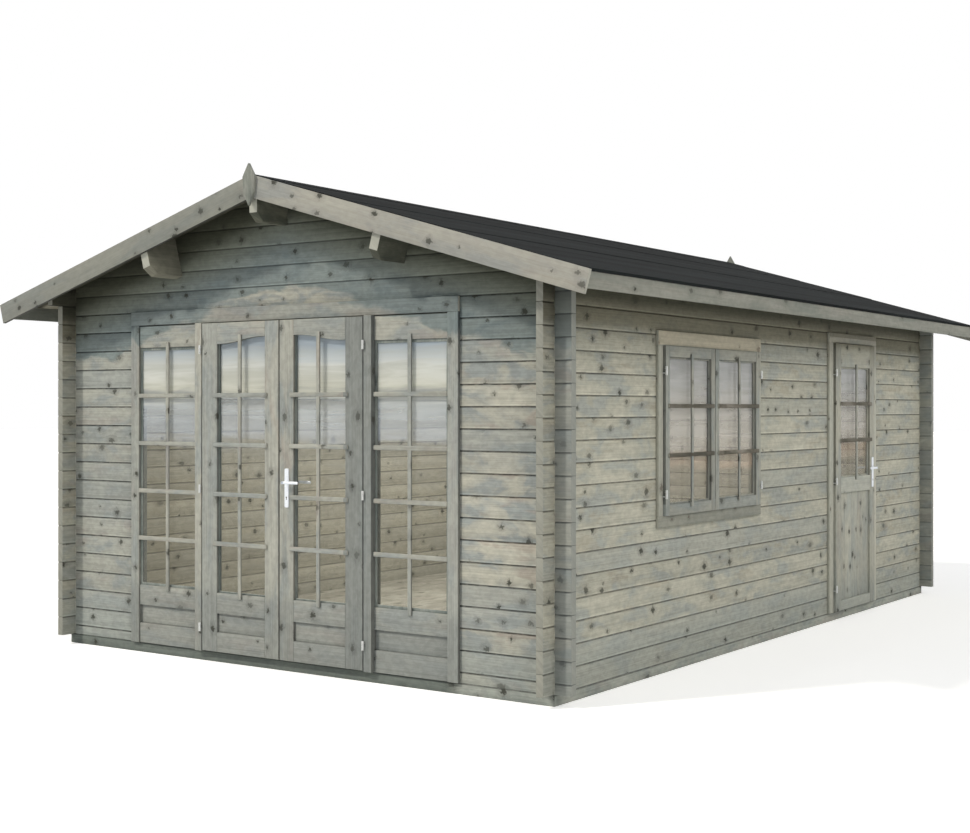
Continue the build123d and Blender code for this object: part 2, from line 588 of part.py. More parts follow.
def window_frame():
    """The window's lining in the wall and its four casing boards."""
    mid = WINDOW_Y
    edge = WINDOW_HALF - FRAME_CLEARANCE
    inner = WINDOW_CASING_HALF - WINDOW_CASING_WIDTH
    low = WINDOW_OPENING_BOTTOM + FRAME_CLEARANCE
    high = WINDOW_OPENING_TOP - FRAME_CLEARANCE
    members = [right_block(mid - edge, mid + edge, -LOG_THICKNESS, 0, low, CASEMENT_BOTTOM),
               right_block(mid - edge, mid + edge, -LOG_THICKNESS, 0, CASEMENT_TOP, high)]
    for u0, u1 in ((inner, edge), (-edge, -inner)):
        members.append(right_block(mid + u0, mid + u1, -LOG_THICKNESS, 0,
                                   CASEMENT_BOTTOM + JOINT_GAP, CASEMENT_TOP - JOINT_GAP))
    out = WINDOW_CASING_HALF
    for z0, z1 in ((WINDOW_CASING_BOTTOM, CASEMENT_BOTTOM), (CASEMENT_TOP, WINDOW_CASING_TOP)):
        members.append(right_block(mid - out, mid + out, JOINT_GAP, CASING_PROUD, z0, z1))
    for u0, u1 in ((inner, out), (-out, -inner)):
        members.append(right_block(mid + u0, mid + u1, JOINT_GAP, CASING_PROUD,
                                   CASEMENT_BOTTOM + JOINT_GAP, CASEMENT_TOP - JOINT_GAP))
    return members


def casement_spans():
    """The two casements as (outer edge, meeting edge) along the wall, from the window's middle."""
    meeting = WINDOW_MEETING_GAP / 2
    return ((-CASEMENT_HALF, -meeting), (meeting, CASEMENT_HALF))


def casement_opening(span):
    """The clear glass width of one casement, from the window's middle."""
    if span[0] < 0:
        return span[0] + CASEMENT_STILE, span[1] - WINDOW_MEETING_STILE
    return span[0] + WINDOW_MEETING_STILE, span[1] - CASEMENT_STILE


def casements():
    """Both casements: stiles and rails, shut."""
    back = SASH_PROUD - SASH_THICKNESS
    low = CASEMENT_BOTTOM + JOINT_GAP
    high = CASEMENT_TOP - JOINT_GAP
    members = []
    for span in casement_spans():
        clear = casement_opening(span)
        for u0, u1 in ((span[0], clear[0]), (clear[1], span[1])):
            members.append(right_block(WINDOW_Y + u0, WINDOW_Y + u1, back, SASH_PROUD, low, high))
        for z0, z1 in ((low, low + CASEMENT_RAIL), (high - CASEMENT_RAIL, high)):
            members.append(right_block(WINDOW_Y + clear[0] + JOINT_GAP, WINDOW_Y + clear[1] - JOINT_GAP,
                                       back, SASH_PROUD, z0, z1))
    return members


def window_glass():
    """The two panes of the window."""
    face = SASH_PROUD - GLASS_RECESS
    low = CASEMENT_BOTTOM + CASEMENT_RAIL + JOINT_GAP + GLASS_CLEARANCE
    high = CASEMENT_TOP - CASEMENT_RAIL - JOINT_GAP - GLASS_CLEARANCE
    panes = []
    for span in casement_spans():
        clear = casement_opening(span)
        panes.append(right_block(WINDOW_Y + clear[0] + GLASS_CLEARANCE, WINDOW_Y + clear[1] - GLASS_CLEARANCE,
                                 face - GLASS_THICKNESS, face, low, high))
    return panes


def turned(x, y, z0, z1, radius):
    """An upright turned pin or barrel, in flats."""
    return Pos(x, y, z0) * extrude(RegularPolygon(radius, FLAT_COUNT), z1 - z0)


def hinge_halves(x, y, z, lug_fixed, lug_leaf):
    """Lower half with its pin, held by the frame, and upper half, held by the leaf."""
    split_low = z - BARREL_GAP / 2
    split_high = z + BARREL_GAP / 2
    lower = turned(x, y, z - BARREL_LENGTH, split_low, BARREL_RADIUS)
    pin_top = split_high + PIN_INSIDE
    lower += Pos(x, y, (split_low + pin_top) / 2) * Cylinder(PIN_RADIUS, pin_top - split_low)
    lower += lug_fixed(z - BARREL_LENGTH, split_low)
    upper = turned(x, y, split_high, z + BARREL_LENGTH, BARREL_RADIUS) + lug_leaf(split_high, z + BARREL_LENGTH)
    bore_top = pin_top + PIN_RUNNING
    upper -= Pos(x, y, (z + bore_top) / 2) * Cylinder(PIN_BORE_RADIUS, bore_top - z)
    return lower, upper


def front_hinges():
    """The right leaf's hinges: halves on the mullion and halves on the leaf."""
    x = LEAF_EDGE + PIN_FROM_LEAF
    y = -HALF_D - PIN_PROUD

    def lug_fixed(z0, z1):
        return front_block(x, x + LUG_REACH, SASH_PROUD, PIN_PROUD, z0, z1)

    def lug_leaf(z0, z1):
        return front_block(x - LUG_REACH, x, SASH_PROUD, PIN_PROUD, z0, z1)

    pairs = [hinge_halves(x, y, z, lug_fixed, lug_leaf) for z in DOOR_HINGES]
    return [pair[0] for pair in pairs], [pair[1] for pair in pairs]


def right_wall_hinges(pin_y, heights, toward_leaf, fixed_face):
    """Hinges on the right wall; toward_leaf is 1 where the leaf lies at larger Y."""
    x = HALF_W + PIN_PROUD

    def span(sign):
        return sorted((pin_y, pin_y + sign * LUG_REACH))

    def lug_fixed(z0, z1):
        u0, u1 = span(-toward_leaf)
        return right_block(u0, u1, fixed_face, PIN_PROUD, z0, z1)

    def lug_leaf(z0, z1):
        u0, u1 = span(toward_leaf)
        return right_block(u0, u1, SASH_PROUD, PIN_PROUD, z0, z1)

    pairs = [hinge_halves(x, pin_y, z, lug_fixed, lug_leaf) for z in heights]
    return [pair[0] for pair in pairs], [pair[1] for pair in pairs]


def window_hinge(edge_sign, z):
    """A window hinge, shut: one barrel with a lug on the casing and a lug on the casement."""
    x = HALF_W + PIN_PROUD
    pin_y = WINDOW_Y + edge_sign * (CASEMENT_HALF + PIN_FROM_LEAF)
    casing_side = sorted((pin_y, pin_y + edge_sign * LUG_REACH))
    leaf_side = sorted((pin_y, pin_y - edge_sign * LUG_REACH))
    hinge = turned(x, pin_y, z - BARREL_LENGTH, z + BARREL_LENGTH, BARREL_RADIUS)
    hinge += right_block(*casing_side, CASING_PROUD, PIN_PROUD, z - BARREL_LENGTH, z - BARREL_GAP / 2)
    return hinge + right_block(*leaf_side, SASH_PROUD, PIN_PROUD, z + BARREL_GAP / 2, z + BARREL_LENGTH)


def across(radius, p0, p1, z):
    """A turned bar that stands out of the wall, at a height."""
    return Pos(0, p0, z) * Rot(-90, 0, 0) * extrude(RegularPolygon(radius, FLAT_COUNT), p1 - p0)


def handle_parts(to_wall, lever_z):
    """Plates and lever of one door; to_wall maps (u, p, z) from the spindle to the wall."""
    plate_mid = lever_z - LEVER_ABOVE_PLATE_MIDDLE
    back = SASH_PROUD - SASH_THICKNESS
    plates = []
    for p0, p1 in ((SASH_PROUD, SASH_PROUD + PLATE_THICKNESS), (back - PLATE_THICKNESS, back)):
        plate = Pos(0, (p0 + p1) / 2, plate_mid) * Box(PLATE_WIDTH, p1 - p0, PLATE_HEIGHT)
        plates.append(to_wall(plate - across(PLATE_HOLE_RADIUS, p0 - 1, p1 + 1, lever_z)))
    outer = SASH_PROUD + LEVER_STANDOFF
    inner = back - LEVER_STANDOFF
    lever = Pos(0, (outer + inner) / 2, lever_z) * Rot(90, 0, 0) * Cylinder(SPINDLE_RADIUS, outer - inner)
    for arm_p, neck0, neck1 in ((outer, SASH_PROUD + PLATE_THICKNESS + NECK_CLEARANCE, outer),
                                (inner, inner, back - PLATE_THICKNESS - NECK_CLEARANCE)):
        arm_mid = (LEVER_LENGTH - LEVER_RADIUS) / 2
        arm = Pos(arm_mid, arm_p, lever_z) * Box(LEVER_LENGTH + LEVER_RADIUS, 2 * LEVER_RADIUS, 2 * LEVER_RADIUS)
        lever += across(LEVER_RADIUS, neck0, neck1, lever_z)
        lever += chamfer(arm.edges().filter_by(Axis.X), LEVER_BEVEL)
    return plates, to_wall(lever)


def front_handle():
    """Plates and lever on the right leaf's meeting stile."""
    place = Pos(MEETING_GAP / 2 + FRONT_PLATE_FROM_EDGE, -HALF_D, 0)
    return handle_parts(lambda shape: place * mirror(shape, about=Plane.XZ), FRONT_LEVER_Z)


def side_handle():
    """Plates and lever on the side leaf's free stile."""
    place = Pos(HALF_W, SIDE_DOOR_Y + SIDE_LEAF_HALF - SIDE_PLATE_FROM_EDGE, 0) * Rot(0, 0, -90)
    return handle_parts(lambda shape: place * shape, SIDE_LEVER_Z)


def spindle_bore(members, x, y, z, along):
    """Drill the members of a leaf for the handle's spindle."""
    turn = Rot(-90, 0, 0) if along == "Y" else Rot(0, 90, 0)
    bar = extrude(RegularPolygon(SPINDLE_HOLE_RADIUS, FLAT_COUNT), 2 * SASH_THICKNESS, both=True)
    drill = Pos(x, y, z) * turn * bar
    return [member - drill for member in members]


# Base, floor and walls
save("base_beams", base_beams())
save("floor_boards", [floor()])
save("left_wall", [side_wall_log(i, -1) for i in range(SIDE_COURSES)])
door_low = SIDE_DOOR_Y - SIDE_DOOR_HALF
door_high = SIDE_DOOR_Y + SIDE_DOOR_HALF
window_low = WINDOW_Y - WINDOW_HALF
window_high = WINDOW_Y + WINDOW_HALF
window_rows = range(COURSES_UNDER_WINDOW, COURSES_UNDER_WINDOW + WINDOW_COURSES)
over_window = range(COURSES_UNDER_WINDOW + WINDOW_COURSES, SIDE_DOOR_COURSES)
save("right_wall_lower", [side_wall_log(i, 1, y1=door_low) for i in range(COURSES_UNDER_WINDOW)])
save("right_wall_front", [side_wall_log(i, 1, y1=window_low) for i in window_rows])
save("right_wall_middle", [side_wall_log(i, 1, window_high, door_low) for i in window_rows])
save("right_wall_rear", [side_wall_log(i, 1, y0=door_high) for i in range(SIDE_DOOR_COURSES)])
save("right_wall_top", [side_wall_log(i, 1, y1=door_low) for i in over_window]
     + [side_wall_log(i, 1) for i in range(SIDE_DOOR_COURSES, SIDE_COURSES)])
doorway_rows = range(int(FRONT_OPENING_COURSES + 0.5))
save("front_wall_left", [front_wall_log(i, -1, x1=-FRONT_OPENING_HALF) for i in doorway_rows])
save("front_wall_right", [front_wall_log(i, -1, x0=FRONT_OPENING_HALF) for i in doorway_rows])
save("front_gable", gable(-1))
save("back_wall", [front_wall_log(i, 1) for i in doorway_rows])
save("back_gable", gable(1))

# Roof
save("ridge_purlin", [ridge_purlin()])
save("side_purlins", [side_purlin(), mirrored(side_purlin())])
save("right_roof_boards", [roof_boards()])
save("left_roof_boards", [mirrored(roof_boards())])
save("roof_felt", roof_felt() + [mirrored(piece) for piece in roof_felt()])
save("eaves_fascias", [fascia(), mirrored(fascia())])
for gable_name, gable_side in (("front", -1), ("back", 1)):
    save(f"{gable_name}_bargeboards", [bargeboard(gable_side), mirrored(bargeboard(gable_side))])
    save(f"{gable_name}_finial", [finial(gable_side)])

# Front doors
save("front_door_frame", front_door_frame())
save("front_side_lights", side_light() + [mirrored(piece) for piece in side_light()])
save("side_light_glass", [side_light_glass(), mirrored(side_light_glass())])
spindle_x = MEETING_GAP / 2 + FRONT_PLATE_FROM_EDGE
save("right_door_leaf", spindle_bore(right_leaf(), spindle_x, -HALF_D, FRONT_LEVER_Z, "Y"))
save("left_door_leaf", [mirrored(piece) for piece in right_leaf()])
save("right_door_glass", [right_leaf_glass()])
save("left_door_glass", [mirrored(right_leaf_glass())])
front_plates, front_lever = front_handle()
save("front_handle_plates", front_plates)
save("front_lever", [front_lever])
mullion_halves, leaf_halves = front_hinges()
save("right_leaf_hinges", leaf_halves)
save("left_leaf_hinges", [mirrored(half) for half in leaf_halves])

# Side door and window
save("side_door_frame", side_door_frame())
spindle_y = SIDE_DOOR_Y + SIDE_LEAF_HALF - SIDE_PLATE_FROM_EDGE
save("side_door_leaf", spindle_bore(side_leaf(), HALF_W, spindle_y, SIDE_LEVER_Z, "X"))
save("side_door_glass", [side_leaf_glass()])
side_plates, side_lever = side_handle()
save("side_handle_plates", side_plates)
save("side_lever", [side_lever])
side_pin = SIDE_DOOR_Y - SIDE_LEAF_HALF - PIN_FROM_LEAF
post_halves, side_halves = right_wall_hinges(side_pin, SIDE_HINGES, 1, CASING_PROUD)
save("side_leaf_hinges", side_halves)
save("window_frame", window_frame())
save("window_casements", casements())
save("window_glass", window_glass())
save("window_hinges", [window_hinge(sign, z) for sign in (-1, 1) for z in WINDOW_HINGES])
save("door_hinge_pins", mullion_halves + [mirrored(half) for half in mullion_halves] + post_halves)
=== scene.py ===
import json
import logging
import math
from collections.abc import Callable, Iterator
from contextlib import contextmanager
from dataclasses import dataclass, replace
from enum import Enum
from functools import cache, partial

import bpy
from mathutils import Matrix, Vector

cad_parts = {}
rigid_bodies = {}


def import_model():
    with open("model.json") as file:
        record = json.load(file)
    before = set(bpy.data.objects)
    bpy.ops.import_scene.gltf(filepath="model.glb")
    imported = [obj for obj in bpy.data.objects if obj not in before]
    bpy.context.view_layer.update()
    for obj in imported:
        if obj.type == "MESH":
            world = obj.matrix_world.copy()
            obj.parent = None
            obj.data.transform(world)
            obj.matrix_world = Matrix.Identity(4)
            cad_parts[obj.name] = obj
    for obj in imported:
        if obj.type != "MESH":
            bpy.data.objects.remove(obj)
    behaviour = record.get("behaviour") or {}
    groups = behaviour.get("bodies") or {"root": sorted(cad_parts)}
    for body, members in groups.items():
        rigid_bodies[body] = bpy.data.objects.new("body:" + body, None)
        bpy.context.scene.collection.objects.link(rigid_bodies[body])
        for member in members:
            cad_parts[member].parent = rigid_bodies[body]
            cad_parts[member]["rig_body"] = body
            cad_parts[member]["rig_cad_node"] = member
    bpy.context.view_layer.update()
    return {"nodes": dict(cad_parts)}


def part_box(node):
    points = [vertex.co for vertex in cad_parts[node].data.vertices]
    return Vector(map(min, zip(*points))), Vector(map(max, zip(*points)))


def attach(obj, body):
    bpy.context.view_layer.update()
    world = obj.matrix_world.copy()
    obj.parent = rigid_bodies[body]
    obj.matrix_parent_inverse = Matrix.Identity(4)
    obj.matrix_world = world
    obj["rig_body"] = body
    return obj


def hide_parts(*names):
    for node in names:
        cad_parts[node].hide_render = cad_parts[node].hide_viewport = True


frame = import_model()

MM = 0.001
HALF_WIDTH = 1.850
HALF_DEPTH = 2.650
RIDGE = 2.784
PITCH = math.radians(16.0)
log = logging.getLogger("cabin")

Point = tuple[float, float, float]
Span = tuple[float, float]
Colour = tuple[float, float, float, float]
Node = bpy.types.Node
Socket = bpy.types.NodeSocket
Object = bpy.types.Object
Add = Callable[..., Node]
StainOrShade = tuple[Node, str | Node]

# The one setting that this script changes on each kind of node.
SETTINGS = {"Math": "operation", "VectorMath": "operation", "Mix": "data_type",
            "MapRange": "interpolation_type", "TexNoise": "noise_dimensions",
            "TexVoronoi": "voronoi_dimensions", "Attribute": "attribute_name"}

# Painted shade under the eaves on the side walls: the heights where it starts and is full, its
# share and its colour.
EAVES_SHADE = ((1.70, 1.90, 0.22, "#6b6957"), (1.88, 1.95, 0.80, "#7a7765"),
               (1.99, 2.09, 0.85, "#3f4035"))
# Painted shade on the gable under the roof: how far under the roof it starts to fade and ends, its
# share and its colour.
ROOF_SHADE = ((0.22, 0.46, 0.75, "#6e7162"), (0.12, 0.27, 0.85, "#38392c"))
# The boards of the window's casing: the middle and half of their height, their share and colour.
WINDOW_CASING = ((1.9015, 0.0585, 0.75, "#b5ae9a"), (1.3635, 0.4795, 0.65, "#979a92"),
                 (0.7920, 0.0920, 0.75, "#7f827a"))
# The blue-grey tint on the gable ends in a dome: its foot, its rise, and how fast it falls.
DOME_FOOT, DOME_RISE, DOME_FALL = 1.775, 0.40, -0.95
# The sides of the cold post right of the double doors, and the heads of both doorways.
COLD_POST = (0.494, 0.69)
DOORWAY_HEAD = 1.988
SIDE_CASING_HEAD = 1.985


class Grain(Enum):
    """The way a board's fibres run."""

    X = 0
    Y = 1
    Z = 2


class Wall(Enum):
    """The two walls that carry doors and windows."""

    FRONT = "front"
    RIGHT = "right"


class WeatherAndShade(Enum):
    """How rain and sun have marked a piece of timber, and where light and shade are painted on it.
    """

    EVEN = "even"
    GABLE = "gable"
    EAVES = "eaves"
    DOORWAY = "doorway"
    CASING = "casing"
    SILL = "sill"
    LEFT_APART = "left side apart"
    OVERHANG = "overhang"


def linear(code: str) -> Colour:
    """Turn an sRGB hex colour into linear light.

    Args:
        code: Six hex digits after a hash.

    Returns:
        Red, green, blue and a full alpha.
    """
    parts = [int(code[i:i + 2], 16) / 255 for i in (1, 3, 5)]
    light = [c / 12.92 if c <= 0.04045 else ((c + 0.055) / 1.055) ** 2.4 for c in parts]
    return light[0], light[1], light[2], 1.0


def add_node(tree: bpy.types.NodeTree, kind: str, inputs: dict | tuple = (),
             setting: str = "") -> Node:
    """Add one node with its setting and links.

    Args:
        tree: The node tree that gets the node.
        kind: The node's type name, without its first word.
        inputs: Values in order, or by name or number. A node or a socket is linked.
        setting: The value of the setting that SETTINGS names for its kind.

    Returns:
        The new node.
    """
    node = tree.nodes.new("ShaderNode" + kind)
    if setting:
        setattr(node, SETTINGS[kind], setting)
    for key, value in (inputs.items() if isinstance(inputs, dict) else enumerate(inputs)):
        if isinstance(value, Node):
            value = next(socket for socket in value.outputs if socket.enabled)
        if isinstance(value, Socket):
            tree.links.new(value, node.inputs[key])
        else:
            node.inputs[key].default_value = value
    return node


def start_material(name: str) -> tuple[bpy.types.Material, Add]:
    """Start an empty material.

    Args:
        name: The material's name.

    Returns:
        The material, and add_node bound to its tree.
    """
    material = bpy.data.materials.new(name)
    material.use_nodes = True
    material.node_tree.nodes.clear()
    return material, partial(add_node, material.node_tree)


@dataclass
class Ground:
    """What the steps of a timber finish read: a place on the cabin, its board and the patterns."""

    add: Add
    x: Socket
    y: Socket
    z: Socket
    normal: Socket
    across: list[Socket | Node]
    board: Socket
    patch: Node
    warmth: Node
    mottle: Node


@dataclass(frozen=True)
class WeatheredSpruce:
    """Planed spruce greyed by weather, which leaves it dull, mottled and streaked along the grain.

    The eye sees soft cold and warm patches that change from board to board, dark ragged knots
    with a smoky halo, and dirt in the joints between logs. Some finishes also carry painted shade
    by place and by the way a face turns, and a painted highlight above each log joint.
    """

    name: str
    pale: str = "#bcbaab"
    middle: str = "#aeaea1"
    cold: str = "#999e99"
    knot: str = "#383932"
    end: str = "#aaaba1"
    fresh: str = "#a39d8b"
    weather_and_shade: WeatherAndShade = WeatherAndShade.EVEN
    first_joint_mm: float = 0.0
    course_mm: float = 115.0
    groove_mm: float = 7.5
    groove_dirt: float = 0.62
    # The left half's colour, for finishes whose two halves are painted apart: painted light and
    # shade by side.
    left: str = "#70756e"
    grain_contrast: float = 1.0
    brown: str = "#a0948a"
    brown_share: float = 0.5
    pitched: bool = False
    shaded_sides: Point | None = None
    shade_above: float = 0.0
    patch_length_mm: float = 300.0
    patch_width_mm: float = 125.0
    mottle_mm: float = 30.0
    streak_length_mm: float = 420.0
    streak_width_mm: float = 6.0
    ring_mm: float = 5.0
    knot_spacing_mm: float = 165.0
    knot_row_mm: float = 110.0
    knot_share: float = 0.42
    fray_mm: float = 14.0
    board_contrast: float = 0.15
    roughness: float = 0.82

    def material(self, grain: Grain) -> bpy.types.Material:
        """Build the finish for boards whose fibres run one way.

        Args:
            grain: The way the fibres run.

        Returns:
            The material.
        """
        material, add = start_material(f"{self.name}_spruce_{grain.name.lower()}")
        place = add("TexCoord")
        x, y, z = add("SeparateXYZ", (place.outputs["Object"],)).outputs
        axes = self._pitched_axes(add, x, y, z) if self.pitched else [x, y, z]
        along = axes.pop(grain.value)
        # Each board's number moves the patterns on, so that no two boards are alike.
        board = add("Attribute", (), "board").outputs["Fac"]
        shifted = add("Math", (board, 61.0, along), "MULTIPLY_ADD")
        across = add("Math", (board, 23.0, add("Math", tuple(axes), "ADD")), "MULTIPLY_ADD")
        flat = add("CombineXYZ", (shifted, across, 0.0))
        apart = add("VectorMath", (flat, (17.0, 5.0, 0.0)), "ADD")

        core, halo, smear, pull = self._knots(add, flat)
        bent = add("VectorMath", (flat, pull), "ADD")
        fibre, rings, patch, mottle, warmth = (self._pattern(add, *row) for row in (
            (bent, self.streak_length_mm, self.streak_width_mm, 3.0),
            (bent, self.streak_length_mm * 2, self.streak_width_mm * 3.5, 2.0),
            (flat, self.patch_length_mm, self.patch_width_mm, 4.0),
            (flat, self.mottle_mm * 1.7, self.mottle_mm, 3.0),
            (apart, self.patch_length_mm * 1.3, self.patch_width_mm * 0.8, 3.0)))
        on = Ground(add, x, y, z, place.outputs["Normal"], axes, board, patch, warmth, mottle)

        colour = linear(self.cold)
        for share, tint in self._own_greys(on) + self._stains_and_shade(on) + self._indoors(on):
            tint = linear(tint) if isinstance(tint, str) else tint
            colour = add("Mix", {0: share, 6: colour, 7: tint}, "RGBA")
        tone = self._tone_dirt_and_shade(on)
        for pattern, low, high, dark, light in (
                (fibre, 0.32, 0.60, 0.90, 1.03), (rings, 0.36, 0.60, 0.94, 1.02),
                (mottle, 0.34, 0.66, 0.92, 1.06), (halo, 0.0, 1.0, 1.0, 0.82),
                (smear, 0.0, 1.0, 1.0, 0.76)):
            dark, light = (1.0 + (limit - 1.0) * self.grain_contrast for limit in (dark, light))
            step = add("MapRange", (pattern, low, high, dark, light), "SMOOTHSTEP")
            tone = add("Math", (tone, step), "MULTIPLY")
        colour = add("VectorMath", {0: colour, "Scale": tone}, "SCALE")
        colour = add("Mix", {0: core, 6: colour, 7: linear(self.knot)}, "RGBA")
        colour = self._shade_log_ends(on, self._end_grain(on, colour, grain))

        relief = add("Math", (core, -0.6, fibre), "MULTIPLY_ADD")
        bump = add("Bump", {"Strength": 0.4, "Distance": 1.0 * MM, "Height": relief})
        surface = add("BsdfPrincipled", {"Base Color": colour, "Roughness": self.roughness,
                                         "Specular IOR Level": 0.25, "Normal": bump})
        add("OutputMaterial", (surface,))
        return material

    def _pitched_axes(self, add: Add, x: Socket, y: Socket, z: Socket) -> list[Socket | Node]:
        """Turn the axes so that the first runs down the roof on both sides of the ridge.

        Args:
            add: Adds a node.
            x: Place across the cabin.
            y: Place along the ridge.
            z: Height.

        Returns:
            Down the slope, along the ridge, and square to the slope.
        """
        side = add("Math", (x,), "ABSOLUTE")
        down, square = (
            add("Math", (side, run, add("Math", (z, rise), "MULTIPLY")), "MULTIPLY_ADD")
            for run, rise in ((math.cos(PITCH), -math.sin(PITCH)),
                              (math.sin(PITCH), math.cos(PITCH))))
        return [down, y, square]

    def _pattern(self, add: Add, flat: Node, length_mm: float, width_mm: float,
                 detail: float) -> Node:
        """Soft noise stretched along the grain.

        Args:
            add: Adds a node.
            flat: Place along and across the grain, in metres.
            length_mm: The size of a mark along the grain.
            width_mm: The size of a mark across it.
            detail: Octaves of finer noise.

        Returns:
            The noise.
        """
        size = (1 / (length_mm * MM), 1 / (width_mm * MM), 0.0)
        scaled = add("VectorMath", (flat, size), "MULTIPLY")
        return add("TexNoise", {"Vector": scaled, "Scale": 1.0, "Detail": detail,
                                "Roughness": 0.58, "Distortion": 0.3}, "2D")

    def _knots(self, add: Add, flat: Node) -> tuple[Node, ...]:
        """Scatter ragged knots, some of them with a smear across the grain.

        Args:
            add: Adds a node.
            flat: Place along and across the grain, in metres.

        Returns:
            The knot's core, its halo, its smear, and how it bends the grain.
        """
        spacing, row = self.knot_spacing_mm * MM, self.knot_row_mm * MM
        cell = add("VectorMath", (flat, (1 / spacing, 1 / row, 0.0)), "MULTIPLY")
        cells = add("TexVoronoi", {"Vector": cell, "Scale": 1.0, "Randomness": 0.95}, "2D")
        presence, girth, character = add("SeparateColor", (cells.outputs["Color"],)).outputs
        away = add("VectorMath", (cell, cells.outputs["Position"]), "SUBTRACT")
        away = add("VectorMath", (away, (spacing, row, 0.0)), "MULTIPLY")
        ragged = add("TexNoise", {"Vector": flat, "Scale": 1 / (self.fray_mm * MM),
                                  "Detail": 2.0}, "2D")
        ragged = add("VectorMath", (ragged.outputs["Color"], (0.5, 0.5, 0.5)), "SUBTRACT")
        frayed = add("VectorMath", (ragged, (32 * MM, 26 * MM, 0.0), away), "MULTIPLY_ADD")
        size = add("Math", (girth, 11.0 * MM, 5.0 * MM), "MULTIPLY_ADD")
        present = add("Math", (presence, self.knot_share), "LESS_THAN")
        smeared = add("Math", (character, 0.5), "GREATER_THAN")
        strength = add("Math", (character, 0.45, 0.45), "MULTIPLY_ADD")
        masks = []
        for stretch, inner, outer, share in (((0.72, 1.0, 0.0), 0.7, 1.35, strength),
                                             ((0.7, 1.0, 0.0), 0.9, 3.6, 1.0),
                                             ((1.5, 0.46, 0.0), 0.4, 1.7, smeared)):
            reach = add("VectorMath", (add("VectorMath", (frayed, stretch), "MULTIPLY"),), "LENGTH")
            reach = add("Math", (reach, size), "DIVIDE")
            mask = add("MapRange", (reach, inner, outer, 1.0, 0.0), "SMOOTHSTEP")
            mask = add("Math", (mask, present), "MULTIPLY")
            masks.append(add("Math", (mask, share), "MULTIPLY"))
        bend = add("Math", (masks[1], -0.75), "MULTIPLY")
        pull = add("VectorMath", {0: away, "Scale": bend}, "SCALE")
        return *masks, add("VectorMath", (pull, (0.0, 1.0, 0.0)), "MULTIPLY")

    def _own_greys(self, on: Ground) -> list[StainOrShade]:
        """Blend the greys in patches, with brown blushes and some boards colder all over.

        Args:
            on: What the steps of a finish read.

        Returns:
            How strong each colour is, and the colour.
        """
        draw = on.add("Math", (on.add("Math", (on.board, 7.31), "MULTIPLY"),), "FRACT")
        rows = ((self.middle, on.patch, 0.36, 0.52, 1.0), (self.pale, on.patch, 0.48, 0.66, 1.0),
                (self.brown, on.warmth, 0.56, 0.70, self.brown_share),
                (self.cold, draw, 0.62, 0.85, 0.55))
        return [(on.add("MapRange", (pattern, low, high, 0.0, share), "SMOOTHSTEP"), tint)
                for tint, pattern, low, high, share in rows]

    def _stains_and_shade(self, on: Ground) -> list[StainOrShade]:
        """List the stains, and the painted shade, that depend on the place on the cabin.

        Args:
            on: What the steps of a finish read.

        Returns:
            How strong each stain or painted shade is, and its colour.
        """
        add, x, y, z = on.add, on.x, on.y, on.z
        if self.weather_and_shade is WeatherAndShade.GABLE:
            return self._gable_tint_and_shade(on) + [self._damp_foot(on)]
        # Painted shade under the eaves, in bands by height, and the damp foot.
        if self.weather_and_shade is WeatherAndShade.EAVES:
            return [(add("MapRange", (z, foot, head, 0.0, share), "SMOOTHSTEP"), tint)
                    for foot, head, share, tint in EAVES_SHADE] + [self._damp_foot(on)]
        if self.weather_and_shade is WeatherAndShade.DOORWAY:
            sides = (add("Math", (x, COLD_POST[0]), "GREATER_THAN"),
                     add("Math", (x, COLD_POST[1]), "LESS_THAN"))
            below = add("Math", (z, DOORWAY_HEAD), "LESS_THAN")
            post = add("Math", (add("Math", sides, "MULTIPLY"), below), "MULTIPLY")
            foot = add("MapRange", (z, 0.36, 0.46, 0.6, 0.0), "SMOOTHSTEP")
            cold = add("Math", (add("Math", (post, 0.85), "MULTIPLY"), foot), "MAXIMUM")
            head = add("Math", (add("Math", (z, DOORWAY_HEAD), "GREATER_THAN"), 0.35), "MULTIPLY")
            return self._gable_tint_and_shade(on) + [(cold, "#838886"), (head, "#6c7576")]
        if self.weather_and_shade is WeatherAndShade.CASING:
            stains = []
            window = add("Math", (y, 0.0), "LESS_THAN")
            for middle, half, share, tint in WINDOW_CASING:
                level = add("Math", (add("Math", (z, middle, half), "COMPARE"), window), "MULTIPLY")
                stains.append((add("Math", (level, share), "MULTIPLY"), tint))
            # The side door's casing is paler up to 1.7 m, fading out by 1.9 m, and its head is
            # darker: painted shade under the eaves.
            low = add("MapRange", (z, 1.70, 1.90, 0.4, 0.0), "SMOOTHSTEP")
            door = add("Math", (add("Math", (y, 0.0), "GREATER_THAN"), low), "MULTIPLY")
            above = add("Math", (z, SIDE_CASING_HEAD), "GREATER_THAN")
            head = add("Math", (above, 0.75), "MULTIPLY")
            return stains + [(door, "#c6c8bc"), (head, "#7a786a")]
        if self.weather_and_shade is WeatherAndShade.SILL:
            # Painted shade under the doors' sill: the front base beam is darker left of x = 1.15 m.
            below = add("MapRange", (x, 1.15, 1.30, 0.9, 0.0), "SMOOTHSTEP")
            front = add("Math", (y, 0.1 - HALF_DEPTH), "LESS_THAN")
            return [(add("Math", (below, front), "MULTIPLY"), "#68706b")]
        if self.weather_and_shade is WeatherAndShade.LEFT_APART:
            # Painted light and shade by side: the left half takes its own colour.
            return [(add("MapRange", (x, -0.10, -0.02, 0.55, 0.0)), self.left)]
        if self.weather_and_shade is WeatherAndShade.OVERHANG:
            # Painted shade on the roof boards where they reach out over the gables.
            off = add("Math", (y,), "ABSOLUTE")
            return [(add("MapRange", (off, HALF_DEPTH - 40 * MM, HALF_DEPTH, 0.0, 0.9)), "#34352a")]
        return []

    def _damp_foot(self, on: Ground) -> StainOrShade:
        """Return the cold grey that splashing rain leaves at the foot of the walls."""
        return on.add("MapRange", (on.z, 0.16, 0.34, 0.6, 0.0), "SMOOTHSTEP"), "#989e99"

